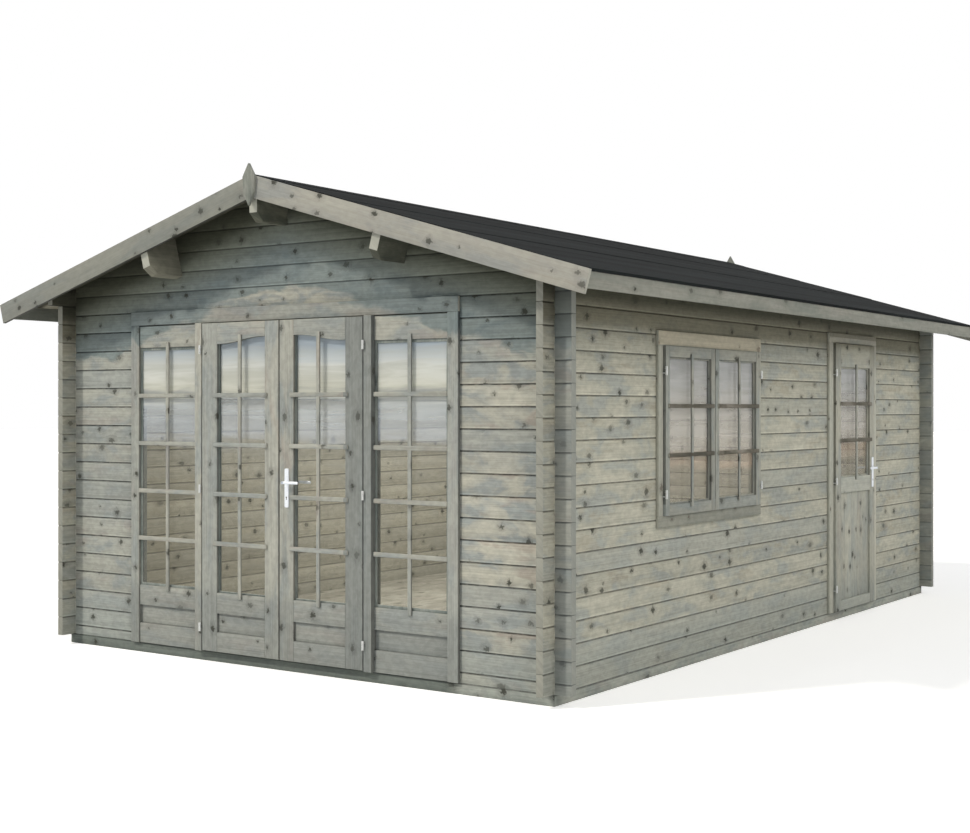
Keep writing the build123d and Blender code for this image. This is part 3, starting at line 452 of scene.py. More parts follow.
    def _gable_tint_and_shade(self, on: Ground) -> list[StainOrShade]:
        """List the gable's blue-grey tint, which ends in a dome, and the painted shade under the
        roof.

        Args:
            on: What the steps of a finish read.

        Returns:
            How strong each tint and painted shade is, and its colour.
        """
        add, x, z = on.add, on.x, on.z
        left = add("MapRange", (x, -1.22, -1.18, 0.45, 0.0))
        fall = add("Math", (add("Math", (x, x), "MULTIPLY"), DOME_FALL), "MULTIPLY")
        dome = add("Math", (2.718, fall), "POWER")
        edge = add("Math", (dome, DOME_RISE, DOME_FOOT), "MULTIPLY_ADD")
        height = add("Math", (on.patch, 0.22, add("Math", (z, edge), "SUBTRACT")), "MULTIPLY_ADD")
        blue_dome = add("MapRange", (height, 0.095, 0.135, 0.0, 0.86), "SMOOTHSTEP")
        tint = add("Mix", {0: on.patch, 6: linear("#616f74"), 7: linear("#828f8e")}, "RGBA")
        roof = add("Math", (add("Math", (x,), "ABSOLUTE"), -math.tan(PITCH), RIDGE), "MULTIPLY_ADD")
        below = add("Math", (roof, z), "SUBTRACT")
        return [(left, "#939996"), (blue_dome, tint)] + [
            (add("MapRange", (below, near, far, share, 0.0), "SMOOTHSTEP"), shade)
            for near, far, share, shade in ROOF_SHADE]

    def _at_walls(self, on: Ground, gap: float, side: str) -> tuple[Node, ...]:
        """Compare the place with the walls' faces, across the cabin and along it."""
        return tuple(on.add("Math", (on.add("Math", (place,), "ABSOLUTE"), wall + gap), side)
                     for place, wall in ((on.x, HALF_WIDTH), (on.y, HALF_DEPTH)))

    def _indoors(self, on: Ground) -> list[StainOrShade]:
        """Keep the faces inside the cabin warmer, because no rain has reached them.

        Args:
            on: What the steps of a finish read.

        Returns:
            The stain for logs, and nothing for other timber.
        """
        if not self.first_joint_mm:
            return []
        inside = on.add("Math", self._at_walls(on, -38 * MM, "LESS_THAN"), "MULTIPLY")
        return [(on.add("Math", (inside, 0.7), "MULTIPLY"), self.fresh)]

    def _tone_dirt_and_shade(self, on: Ground) -> Node:
        """Tell boards apart, darken joints between logs, and paint shade on faces turned one way
        and on faces turned down.

        Args:
            on: What the steps of a finish read.

        Returns:
            The tone, about 1 on clean wood.
        """
        add = on.add
        apart = add("Math", (on.board, 0.5), "SUBTRACT")
        tone = add("Math", (apart, self.board_contrast, 1.0), "MULTIPLY_ADD")
        if self.first_joint_mm:
            tone = add("Math", (tone, self._joints(on)), "MULTIPLY")
        if self.shaded_sides:
            high_up = add("Math", (on.z, self.shade_above), "GREATER_THAN")
            # Painted shade: faces turned to the given side, and faces turned down, are darker high
            # enough up.
            for way, shaded_keep in ((self.shaded_sides, 0.56), ((0.0, 0.0, -1.0), 0.5)):
                facing = add("VectorMath", (on.normal, way), "DOT_PRODUCT")
                facing = add("Math", (facing, high_up), "MULTIPLY")
                painted_shade = add("MapRange", (facing, 0.55, 0.95, 1.0, shaded_keep), "SMOOTHSTEP")
                tone = add("Math", (tone, painted_shade), "MULTIPLY")
        return tone

    def _joints(self, on: Ground) -> Node:
        """Darken the groove over each log, where dirt and damp collect, and paint a thin highlight
        a little above each joint.

        Args:
            on: What the steps of a finish read.

        Returns:
            The tone, 1 away from the joints.
        """
        add = on.add
        above = add("Math", (on.z, self.first_joint_mm * MM), "SUBTRACT")
        above = add("Math", (add("Math", (above, self.course_mm * MM), "DIVIDE"),), "FRACT")
        above = add("Math", (above, self.course_mm), "MULTIPLY")
        edge = self.course_mm - self.groove_mm
        # The band from 2 to 12 mm above each joint is a painted highlight on the log's edge.
        groove, lip, glint_rise, painted_glint = (add("MapRange", (above, *row), "SMOOTHSTEP") for row in (
            (edge - 2.0, edge + 1.5, 0.0, 1.0), (0.5, 2.0, 1.0, 0.0), (2.0, 4.0, 0.0, 1.0),
            (7.0, 12.0, 0.17, 0.0)))
        dirt = add("Math", (groove, lip), "MAXIMUM")
        most = self.groove_dirt
        broken = add("MapRange", (on.mottle, 0.30, 0.62, most * 0.5, most), "SMOOTHSTEP")
        dirt = add("Math", (dirt, broken), "MULTIPLY")
        tone = add("Math", (glint_rise, painted_glint, 1.0), "MULTIPLY_ADD")
        return add("Math", (tone, dirt), "SUBTRACT")

    def _shade_log_ends(self, on: Ground, colour: Node) -> Node:
        """Darken the log ends that stand past the corners, and tint blue-grey those past the side
        walls: painted shade.

        Args:
            on: What the steps of a finish read.
            colour: The colour so far.

        Returns:
            The colour, with painted shade on the log ends.
        """
        if not self.first_joint_mm:
            return colour
        add = on.add
        past = self._at_walls(on, 3 * MM, "GREATER_THAN")
        shadow_blue = add("Math", (past[0], 0.4), "MULTIPLY")
        colour = add("Mix", {0: shadow_blue, 6: colour, 7: linear("#9ca4a3")}, "RGBA")
        shaded_keep = add("MapRange", (on.x, -HALF_WIDTH, HALF_WIDTH, 0.70, 0.76))
        tone = add("Mix", {0: add("Math", past, "MAXIMUM"), 2: 1.0, 3: shaded_keep}, "FLOAT")
        return add("VectorMath", {0: colour, "Scale": tone}, "SCALE")

    def _end_grain(self, on: Ground, colour: Node, grain: Grain) -> Node:
        """Show year rings on the faces cut across the fibres.

        Args:
            on: What the steps of a finish read.
            colour: The colour of the long faces.
            grain: The way the fibres run.

        Returns:
            The colour with its end grain.
        """
        add = on.add
        facing = add("SeparateXYZ", (on.normal,)).outputs[grain.value]
        mask = add("MapRange", (add("Math", (facing,), "ABSOLUTE"), 0.8, 0.95), "SMOOTHSTEP")
        reach = add("VectorMath", (add("CombineXYZ", (*on.across, 0.0)),), "LENGTH")
        turn = add("Math", (reach, 2 * math.pi / (self.ring_mm * MM)), "MULTIPLY")
        dull = add("MapRange", (on.mottle, 0.3, 0.7, 0.9, 1.06))
        shade = add("Math", (add("Math", (turn,), "SINE"), 0.05, dull), "MULTIPLY_ADD")
        cut = add("VectorMath", {0: linear(self.end)[:3], "Scale": shade}, "SCALE")
        return add("Mix", {0: mask, 6: colour, 7: cut}, "RGBA")


@dataclass(frozen=True)
class MineralFelt:
    """Bitumen felt rolled with slate granules: very dark, matt, faintly streaked by rain."""

    name: str = "mineral_felt"
    dark: str = "#101213"
    light: str = "#202425"
    granule_mm: float = 7.0
    streak_mm: Point = (120.0, 2200.0, 600.0)

    def material(self) -> bpy.types.Material:
        """Build the finish, its granules drawn coarser than the real 1 mm so that they show.

        Returns:
            The material.
        """
        material, add = start_material(self.name)
        place = add("TexCoord").outputs["Object"]
        grit = add("TexNoise", {"Vector": place, "Scale": 1 / (self.granule_mm * MM), "Detail": 2.0,
                                "Roughness": 0.7})
        long = add("VectorMath", (place, [1 / (size * MM) for size in self.streak_mm]), "MULTIPLY")
        streak = add("TexNoise", {"Vector": long, "Scale": 1.0, "Detail": 4.0, "Roughness": 0.6})
        shade = add("Math", (streak, 0.65, add("Math", (grit, 0.35), "MULTIPLY")), "MULTIPLY_ADD")
        step = add("MapRange", (shade, 0.38, 0.64), "SMOOTHSTEP")
        colour = add("Mix", {0: step, 6: linear(self.dark), 7: linear(self.light)}, "RGBA")
        bump = add("Bump", {"Strength": 0.6, "Distance": 1.0 * MM, "Height": grit})
        surface = add("BsdfPrincipled", {"Base Color": colour, "Roughness": 0.95,
                                         "Specular IOR Level": 0.08, "Normal": bump})
        add("OutputMaterial", (surface,))
        return material


@dataclass(frozen=True)
class FloatGlass:
    """Float glass, 4 mm thick: clear low down, with a painted reflection of a pale cloudy sky
    higher up.

    The eye sees that painted reflection's milky streaks near the top, a cooler painted veil in the
    middle, and the room behind near the bottom.
    """

    name: str
    reflection_tints: tuple[tuple[float, str], ...]
    reflection_veils: tuple[Span, ...]
    foot: float = 0.9
    head: float = 1.95
    reflected_cloud_mm: Point = (900.0, 900.0, 62.0)

    def material(self) -> bpy.types.Material:
        """Build the finish.

        Returns:
            The material.
        """
        material, add = start_material(self.name)
        place = add("TexCoord").outputs["Object"]
        height = add("SeparateXYZ", (place,)).outputs[2]
        # A painted reflection of a cloudy sky: its colour and cover change with height and noise.
        wide = add("VectorMath", (place, [1 / (size * MM) for size in self.reflected_cloud_mm]), "MULTIPLY")
        reflected_cloud = add("TexNoise", {"Vector": wide, "Scale": 1.0, "Detail": 4.0, "Roughness": 0.6,
                                 "Distortion": 0.5})
        sway = add("Math", (add("Math", (reflected_cloud, 0.5), "SUBTRACT"), 0.22, height), "MULTIPLY_ADD")
        level = add("MapRange", (sway, self.foot, self.head))
        tint, veil = (add("ValToRGB", (level,)) for _ in range(2))
        self._stops(tint, [(z, linear(code)) for z, code in self.reflection_tints])
        self._stops(veil, [(z, (v, v, v, 1.0)) for z, v in self.reflection_veils])
        streak = add("MapRange", (reflected_cloud, 0.35, 0.65, 0.86, 1.08), "SMOOTHSTEP")
        colour = add("VectorMath", {0: tint, "Scale": streak}, "SCALE")
        surface = add("BsdfPrincipled", {"Base Color": colour, "Alpha": veil, "Roughness": 0.03,
                                         "IOR": 1.45, "Specular IOR Level": 0.3})
        add("OutputMaterial", (surface,))
        return material

    def _stops(self, ramp: Node, stops: list[tuple[float, Colour]]) -> None:
        """Set a ramp's stops by their height.

        Args:
            ramp: The colour ramp.
            stops: Heights in metres, and their colours.
        """
        elements = ramp.color_ramp.elements
        while len(elements) < len(stops):
            elements.new(0.5)
        for element, (z, colour) in zip(elements, stops):
            element.position = (z - self.foot) / (self.head - self.foot)
            element.color = colour


@dataclass(frozen=True)
class SatinMetal:
    """Satin metal, brushed or plated: an even soft sheen with faint handling marks."""

    name: str
    colour: str
    marked: str
    metallic: float
    roughness: float
    mark_mm: float = 9.0

    def material(self) -> bpy.types.Material:
        """Build the finish.

        Returns:
            The material.
        """
        material, add = start_material(self.name)
        place = add("TexCoord").outputs["Object"]
        marks = add("TexNoise", {"Vector": place, "Scale": 1 / (self.mark_mm * MM), "Detail": 3.0,
                                 "Roughness": 0.6})
        step = add("MapRange", (marks, 0.3, 0.7, 0.0, 0.35), "SMOOTHSTEP")
        colour = add("Mix", {0: step, 6: linear(self.colour), 7: linear(self.marked)}, "RGBA")
        rough = add("MapRange", (marks, 0.3, 0.7, self.roughness - 0.05, self.roughness + 0.08))
        surface = add("BsdfPrincipled", {"Base Color": colour, "Roughness": rough,
                                         "Metallic": self.metallic})
        add("OutputMaterial", (surface,))
        return material


Finish = WeatheredSpruce | MineralFelt | FloatGlass | SatinMetal


SIDE_LOG = WeatheredSpruce(
    "side_log", "#b8b7a9", "#b0b0a3", "#a2a6a0", weather_and_shade=WeatherAndShade.EAVES, first_joint_mm=60.0,
    groove_dirt=0.58, brown="#a59e8c", brown_share=0.4, knot_share=0.36)
END_LOG = WeatheredSpruce("end_log", first_joint_mm=60.0 + 57.5)
FRONT_LOG = replace(END_LOG, name="front_log", weather_and_shade=WeatherAndShade.GABLE, pale="#b6b5a8",
                    middle="#aaaaa0", cold="#949a98", groove_dirt=0.72)
GABLE_LOG = replace(FRONT_LOG, name="gable_log", groove_dirt=0.42, groove_mm=6.0)
# The bargeboards get painted shade on faces turned down, and a greyer left half, painted shade by
# side.
TRIM = WeatheredSpruce(
    "trim", "#aaa99f", "#a3a29a", "#999b97", board_contrast=0.05, knot_spacing_mm=190.0,
    knot_row_mm=75.0, patch_length_mm=600.0, pitched=True, grain_contrast=0.55,
    weather_and_shade=WeatherAndShade.LEFT_APART, brown_share=0.2, shaded_sides=(0.0, 0.0, -1.0))
FASCIA = WeatheredSpruce(
    "fascia", "#92938b", "#8a8c84", "#80847d", board_contrast=0.05, knot_spacing_mm=280.0,
    patch_length_mm=700.0, grain_contrast=0.7, brown_share=0.1)
FINIAL = WeatheredSpruce("finial", "#8b8d86", "#7e827b", "#727671", knot_share=0.2, brown_share=0.0)
# The purlins' long faces are painted dark, the shade under the roof, and their cut ends pale; the
# left one's side is painted paler.
PURLIN = WeatheredSpruce("purlin", "#67685c", "#585a4f", "#4c4f47", end="#b0b1a6", brown_share=0.0,
                         weather_and_shade=WeatherAndShade.LEFT_APART, left="#8f8d7f")
# The doors get painted shade on faces turned to +x, the left reveals of the panes, and on faces
# turned down.
JOINERY = WeatheredSpruce(
    "front_joinery", "#a9aaa1", "#a2a39b", "#969b98", board_contrast=0.10, knot_spacing_mm=210.0,
    knot_share=0.45, roughness=0.76, patch_length_mm=420.0, weather_and_shade=WeatherAndShade.DOORWAY,
    shaded_sides=(1.0, 0.0, 0.0), brown_share=0.35)
FRONT_FRAME = replace(JOINERY, name="front_frame", pale="#aeaea4", middle="#a5a69d", cold="#989d9a")
# The side door gets painted shade under the eaves, and on faces turned to the front above 0.95 m
# and faces turned down.
SIDE_JOINERY = replace(
    JOINERY, name="side_joinery", pale="#b7b7aa", middle="#b0b0a5", cold="#a5a9a2",
    weather_and_shade=WeatherAndShade.EAVES, shaded_sides=(0.0, -1.0, 0.0), shade_above=0.95,
    grain_contrast=0.8, brown_share=0.2, board_contrast=0.22)
CASEMENT = replace(SIDE_JOINERY, name="casement", pale="#a0a198", middle="#989a93", cold="#8d9390",
                   brown_share=0.0)
SIDE_FRAME = replace(SIDE_JOINERY, name="side_frame", pale="#b4b1a3", middle="#aba99c",
                     cold="#9ea097", knot="#54463e", weather_and_shade=WeatherAndShade.CASING, shaded_sides=None)
SIDE_BAR = WeatheredSpruce("side_bar", "#827e76", "#6c685e", "#56544b", knot_share=0.1,
                           board_contrast=0.4, brown_share=0.0)
# The beads' dark greys, and their darker faces turned to +x and down, are painted shade in the
# rebates.
BEAD = WeatheredSpruce("bead", "#8b918c", "#7d8480", "#6e7774", knot_share=0.1,
                       shaded_sides=(1.0, 0.0, 0.0), brown_share=0.0)
BASE = WeatheredSpruce(
    "base", "#a9aca4", "#a0a49c", "#949a95", board_contrast=0.06, knot_share=0.25,
    first_joint_mm=60.0, weather_and_shade=WeatherAndShade.SILL, brown_share=0.2)
FRESH = WeatheredSpruce("fresh", "#aeaa9b", "#a39f90", "#979385", "#615a4c", "#b3ab98",
                        board_contrast=0.10, brown_share=0.3)
FRESH_ROOF = replace(FRESH, name="fresh_roof", pitched=True, weather_and_shade=WeatherAndShade.OVERHANG)
FELT = MineralFelt()
FRONT_GLASS = FloatGlass(
    "front_float_glass",
    reflection_tints=((1.00, "#9c9b8d"), (1.26, "#a9aaa3"), (1.33, "#c9d2dc"), (1.52, "#d0d9df"),
           (1.60, "#dfe0d4"), (1.74, "#e1e5e1"), (1.84, "#b5c2cd")),
    reflection_veils=((1.00, 0.08), (1.24, 0.10), (1.33, 0.31), (1.52, 0.35), (1.60, 0.62), (1.84, 0.66)))
SIDE_GLASS = FloatGlass(
    "side_float_glass",
    reflection_tints=((1.00, "#9c998f"), (1.14, "#aaa294"), (1.20, "#d0b8a3"), (1.26, "#cfcbc4"),
           (1.50, "#d0cfcd"), (1.62, "#c8cbcd"), (1.84, "#c0c4c8")),
    reflection_veils=((1.00, 0.20), (1.14, 0.25), (1.22, 0.36), (1.50, 0.40), (1.84, 0.48)))
HANDLE = SatinMetal("satin_anodised_aluminium", "#eef3fa", "#c6cfd8", metallic=0.35, roughness=0.36)
ZINC = SatinMetal("zinc_plated_steel", "#d3d6d6", "#aeb3b2", metallic=0.25, roughness=0.42)
# The keyhole's dark sheet is painted shadow in place of a hole.
KEYWAY = SatinMetal("keyway_shadow", "#15171a", "#202326", metallic=0.0, roughness=0.6)


@cache
def built(finish: Finish, *grain: Grain) -> bpy.types.Material:
    """Build a finish's material once, and once for each grain direction where it has one."""
    return finish.material(*grain)


def select_only(*objects: Object) -> None:
    """Select these objects and nothing else.

    Args:
        objects: What gets selected. The first one becomes active.
    """
    bpy.ops.object.select_all(action="DESELECT")
    for obj in objects:
        obj.select_set(True)
    bpy.context.view_layer.objects.active = objects[0]


@contextmanager
def editing(obj: Object, kind: str = "EDGE") -> Iterator[None]:
    """Edit a mesh for a while, with nothing selected at first.

    Args:
        obj: The object to edit.
        kind: What gets selected: VERT, EDGE or FACE.
    """
    select_only(obj)
    bpy.ops.object.mode_set(mode="EDIT")
    bpy.ops.mesh.select_mode(type=kind)
    bpy.ops.mesh.select_all(action="DESELECT")
    yield
    bpy.ops.object.mode_set(mode="OBJECT")


@contextmanager
def marking(obj: Object) -> Iterator[bpy.types.Mesh]:
    """Leave edit mode for a while, to mark the parts of a mesh that get selected.

    Args:
        obj: The object that is being edited.

    Yields:
        Its mesh.
    """
    bpy.ops.object.mode_set(mode="OBJECT")
    yield obj.data
    bpy.ops.object.mode_set(mode="EDIT")


def pick_faces(obj: Object, wanted: Callable[[bpy.types.MeshPolygon], bool]) -> None:
    """Select faces in edit mode.

    Args:
        obj: The object that is being edited.
        wanted: Tests a face.
    """
    with marking(obj) as mesh:
        for face in mesh.polygons:
            face.select = wanted(face)


def ease(obj: Object, width: float, segments: int,
         wanted: Callable[[Vector, Vector], bool]) -> None:
    """Bevel some of a mesh's edges.

    Args:
        obj: The object to ease.
        width: The bevel's width in metres.
        segments: Steps across the bevel.
        wanted: Tests an edge by its middle and direction.
    """
    with editing(obj):
        with marking(obj) as mesh:
            for edge in mesh.edges:
                first, second = (mesh.vertices[i].co for i in edge.vertices)
                edge.select = wanted((first + second) / 2, (second - first).normalized())
        bpy.ops.mesh.bevel(offset=width, segments=segments)


def face_outwards() -> None:
    """Turn every face of the mesh that is being edited outwards."""
    bpy.ops.mesh.select_all(action="SELECT")
    bpy.ops.mesh.normals_make_consistent(inside=False)


def added(operator: Callable[..., set[str]], **settings: object) -> Object:
    """Run an operator that adds an object.

    Args:
        operator: The operator.
        settings: What it is called with.

    Returns:
        The new object.
    """
    bpy.ops.object.select_all(action="DESELECT")
    operator(**settings)
    return bpy.context.active_object


def copy_of(obj: Object) -> Object:
    """Copy an object with its mesh.

    Args:
        obj: The object to copy.

    Returns:
        The copy.
    """
    select_only(obj)
    bpy.ops.object.duplicate()
    return bpy.context.active_object


def settle(obj: Object) -> None:
    """Put an object's place, turn and scale into its mesh."""
    select_only(obj)
    bpy.ops.object.transform_apply(location=True, rotation=True, scale=True)


def soften(obj: Object, width: float, segments: int = 2) -> None:
    """Ease every sharp edge with an applied bevel, and shade by angle.

    Args:
        obj: The object to ease.
        width: The bevel's width in metres.
        segments: Steps across the bevel.
    """
    select_only(obj)
    bevel = obj.modifiers.new("eased_edges", "BEVEL")
    bevel.width = width
    bevel.segments = segments
    bevel.limit_method = "ANGLE"
    bevel.angle_limit = math.radians(30)
    bpy.ops.object.modifier_apply(modifier=bevel.name)
    bpy.ops.object.shade_smooth_by_angle(angle=math.radians(35))


def repeat(obj: Object, count: int, step: Point) -> None:
    """Repeat a board in a row.

    Args:
        obj: The first board.
        count: How many boards the row has.
        step: The way from one board to the next, in metres.
    """
    row = obj.modifiers.new("row", "ARRAY")
    row.count = count
    row.use_relative_offset = False
    row.use_constant_offset = True
    row.constant_offset_displace = step
    select_only(obj)
    bpy.ops.object.modifier_apply(modifier=row.name)


def block(name: str, low: Point, high: Point) -> Object:
    """Add a squared piece between two corners.

    Args:
        name: The piece's name.
        low: Its lowest corner, in metres.
        high: Its highest corner, in metres.

    Returns:
        The new object, with its place in its mesh.
    """
    centre = [(a + b) / 2 for a, b in zip(low, high)]
    obj = added(bpy.ops.mesh.primitive_cube_add, size=1, location=centre)
    obj.scale = [b - a for a, b in zip(low, high)]
    obj.name = name
    settle(obj)
    return obj


def wall_block(wall: Wall, name: str, u: Span, out: Span, z: Span) -> Object:
    """Add a squared piece on a wall.

    Args:
        wall: The wall that carries it.
        name: The piece's name.
        u: Its ends along the wall, in millimetres.
        out: How far its back and front stand out of the wall, in millimetres.
        z: Its foot and head, in millimetres.

    Returns:
        The new object.
    """
    if wall is Wall.FRONT:
        return block(name, (u[0] * MM, -HALF_DEPTH - out[1] * MM, z[0] * MM),
                     (u[1] * MM, -HALF_DEPTH - out[0] * MM, z[1] * MM))
    return block(name, (HALF_WIDTH + out[0] * MM, u[0] * MM, z[0] * MM),
                 (HALF_WIDTH + out[1] * MM, u[1] * MM, z[1] * MM))


def rod(radius_mm: float, depth: float, place: Point, turn: Point) -> Object:
    """Add a round piece.

    Args:
        radius_mm: Its radius.
        depth: Its length, in metres.
        place: Its middle, in metres.
        turn: How it is turned from upright.

    Returns:
        The new object, with its place in its mesh.
    """
    obj = added(bpy.ops.mesh.primitive_cylinder_add, vertices=20, radius=radius_mm * MM,
                depth=depth, location=place, rotation=turn)
    settle(obj)
    return obj


def join(name: str, objects: list[Object]) -> Object:
    """Join objects into one piece.

    Args:
        name: The piece's name.
        objects: Two or more objects.

    Returns:
        The piece.
    """
    select_only(*objects)
    bpy.ops.object.join()
    obj = bpy.context.active_object
    obj.name = name
    obj.data.name = name
    return obj


def parts_of(mesh: bpy.types.Mesh) -> list[list[int]]:
    """Find the separate boards of a mesh.

    Args:
        mesh: The mesh to look through.

    Returns:
        The vertex numbers of each board.
    """
    parent = list(range(len(mesh.vertices)))

    def root(i: int) -> int:
        """Follow a vertex to the one that stands for its board.

        Args:
            i: The vertex's number.

        Returns:
            The number of the one that stands for it.
        """
        while parent[i] != i:
            parent[i] = parent[parent[i]]
            i = parent[i]
        return i

    for edge in mesh.edges:
        a, b = (root(i) for i in edge.vertices)
        if a != b:
            parent[a] = b
    groups: dict[int, list[int]] = {}
    for i in range(len(parent)):
        groups.setdefault(root(i), []).append(i)
    return list(groups.values())


def dress_boards(obj: Object, finish: WeatheredSpruce) -> None:
    """Give each board of a piece its grain direction and its own number.

    Args:
        obj: The piece, before its edges are eased.
        finish: The timber it is made of.
    """
    mesh = obj.data
    mesh.materials.clear()
    for grain in Grain:
        mesh.materials.append(built(finish, grain))
    number = [0.0] * len(mesh.vertices)
    way = [0] * len(mesh.vertices)
    for part in parts_of(mesh):
        places = [mesh.vertices[i].co for i in part]
        low = [min(p[k] for p in places) for k in range(3)]
        high = [max(p[k] for p in places) for k in range(3)]
        spans = [b - a for a, b in zip(low, high)]
        longest = spans.index(max(spans))
        # A board's number is drawn from its place, so it stays the same in every build.
        seed = low[0] * 12.99 + high[1] * 78.23 + (low[2] + high[2]) * 37.72
        seed = math.sin(seed) * 43758.5453
        for i in part:
            number[i] = seed - math.floor(seed)
            way[i] = longest
    values = mesh.attributes.new("board", "FLOAT", "FACE")
    for face in mesh.polygons:
        values.data[face.index].value = number[face.vertices[0]]
        face.material_index = way[face.vertices[0]]


def dress_plain(obj: Object, finish: Finish) -> None:
    """Give a whole piece one finish that has no grain."""
    obj.data.materials.clear()
    obj.data.materials.append(built(finish))


def place_piece(obj: Object, body: str, slot: str, *nodes: str) -> None:
    """Hand a finished piece to the frame.

    Args:
        obj: The finished piece.
        body: The body that it moves with.
        slot: Not used.
        nodes: The CAD nodes that it stands for.
    """
    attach(obj, body)
    if nodes:
        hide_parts(*nodes)
    log.info("%s: %d faces on %s", obj.name, len(obj.data.polygons), body)


def place_metal(obj: Object, finish: SatinMetal, body: str, slot: str, *nodes: str) -> None:
    """Plate a metal piece, shade it by angle and hand it to the frame.

    Args:
        obj: The finished shape.
        finish: The metal's finish.
        body: The body that it moves with.
        slot: Not used; it is passed on to place_piece.
        nodes: The CAD nodes that it stands for.
    """
    dress_plain(obj, finish)
    select_only(obj)
    bpy.ops.object.shade_smooth_by_angle(angle=math.radians(40))
    place_piece(obj, body, slot, *nodes)


@dataclass
class PlanedTimber:
    """Boards and logs whose solids are right: each is copied, its arrises eased, and dressed."""

    node: str
    body: str
    slot: str
    finish: WeatheredSpruce
    ease_mm: float = 2.0

    def build(self) -> None:
        """Copy the node, ease its edges and dress it."""
        obj = copy_of(frame["nodes"][self.node])
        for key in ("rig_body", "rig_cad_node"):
            if key in obj:
                del obj[key]
        obj.parent = None
        obj.name = f"{self.node}_timber"
        with editing(obj, "FACE"):
            bpy.ops.mesh.select_all(action="SELECT")
            bpy.ops.mesh.remove_doubles(threshold=0.05 * MM)
            bpy.ops.mesh.dissolve_limited(angle_limit=math.radians(1))
        dress_boards(obj, self.finish)
        soften(obj, self.ease_mm * MM)
        place_piece(obj, self.body, self.slot, self.node)


@dataclass
class GlazingBars:
    """Bars planted over the outer face of a pane: one upright, and cross bars that lap the sash.

    Sizes are in millimetres.
    """

    name: str
    wall: Wall
    body: str
    pane: Span
    upright: Span
    crossings: tuple[float, ...]
    face: float
    finish: WeatheredSpruce
    crossing_finish: WeatheredSpruce
    width: float
    lap: float
    thickness: float = 11.0
    crossing_step: float = 0.4
    rounding: float = 4.0

    def build(self) -> None:
        """Build the bars."""
        middle = (self.pane[0] + self.pane[1]) / 2
        half = self.width / 2
        far = self.face + self.thickness
        upright = wall_block(self.wall, f"{self.name}_upright", (middle - half, middle + half),
                             (self.face, far), self.upright)
        dress_boards(upright, self.finish)
        bars = [upright]
        for number, z in enumerate(self.crossings):
            bar = wall_block(self.wall, f"{self.name}_{number}",
                             (self.pane[0] - self.lap, self.pane[1] + self.lap),
                             (self.face, far + self.crossing_step), (z - half, z + half))
            dress_boards(bar, self.crossing_finish)
            bars.append(bar)
        piece = join(self.name, bars)
        soften(piece, self.rounding * MM, 3)
        place_piece(piece, self.body, "joinery")


@dataclass
class GlazingBead:
    """A slim bead that holds a pane in its rebate. Sizes are in millimetres."""

    name: str
    wall: Wall
    body: str
    pane: Span
    height: Span
    glass_face: float
    finish: WeatheredSpruce
    width: float
    depth: float
    play: float = 0.2

    def build(self) -> None:
        """Cut the middle out of a squared piece, and ease what is left."""
        across, up = ((low + self.play, high - self.play) for low, high in (self.pane, self.height))
        depth = (self.glass_face + self.play, self.glass_face + self.depth)
        bead = wall_block(self.wall, self.name, across, depth, up)
        out = 1 if self.wall is Wall.FRONT else 0
        with editing(bead, "FACE"):
            pick_faces(bead, lambda face: abs(face.normal[out]) > 0.9)
            bpy.ops.mesh.inset(thickness=self.width * MM, use_individual=True)
            bpy.ops.mesh.delete(type="FACE")
            bpy.ops.mesh.select_mode(type="EDGE")
            bpy.ops.mesh.select_non_manifold()
            bpy.ops.mesh.bridge_edge_loops()
            face_outwards()
        dress_boards(bead, self.finish)
        soften(bead, 1.5 * MM)
        place_piece(bead, self.body, "joinery")


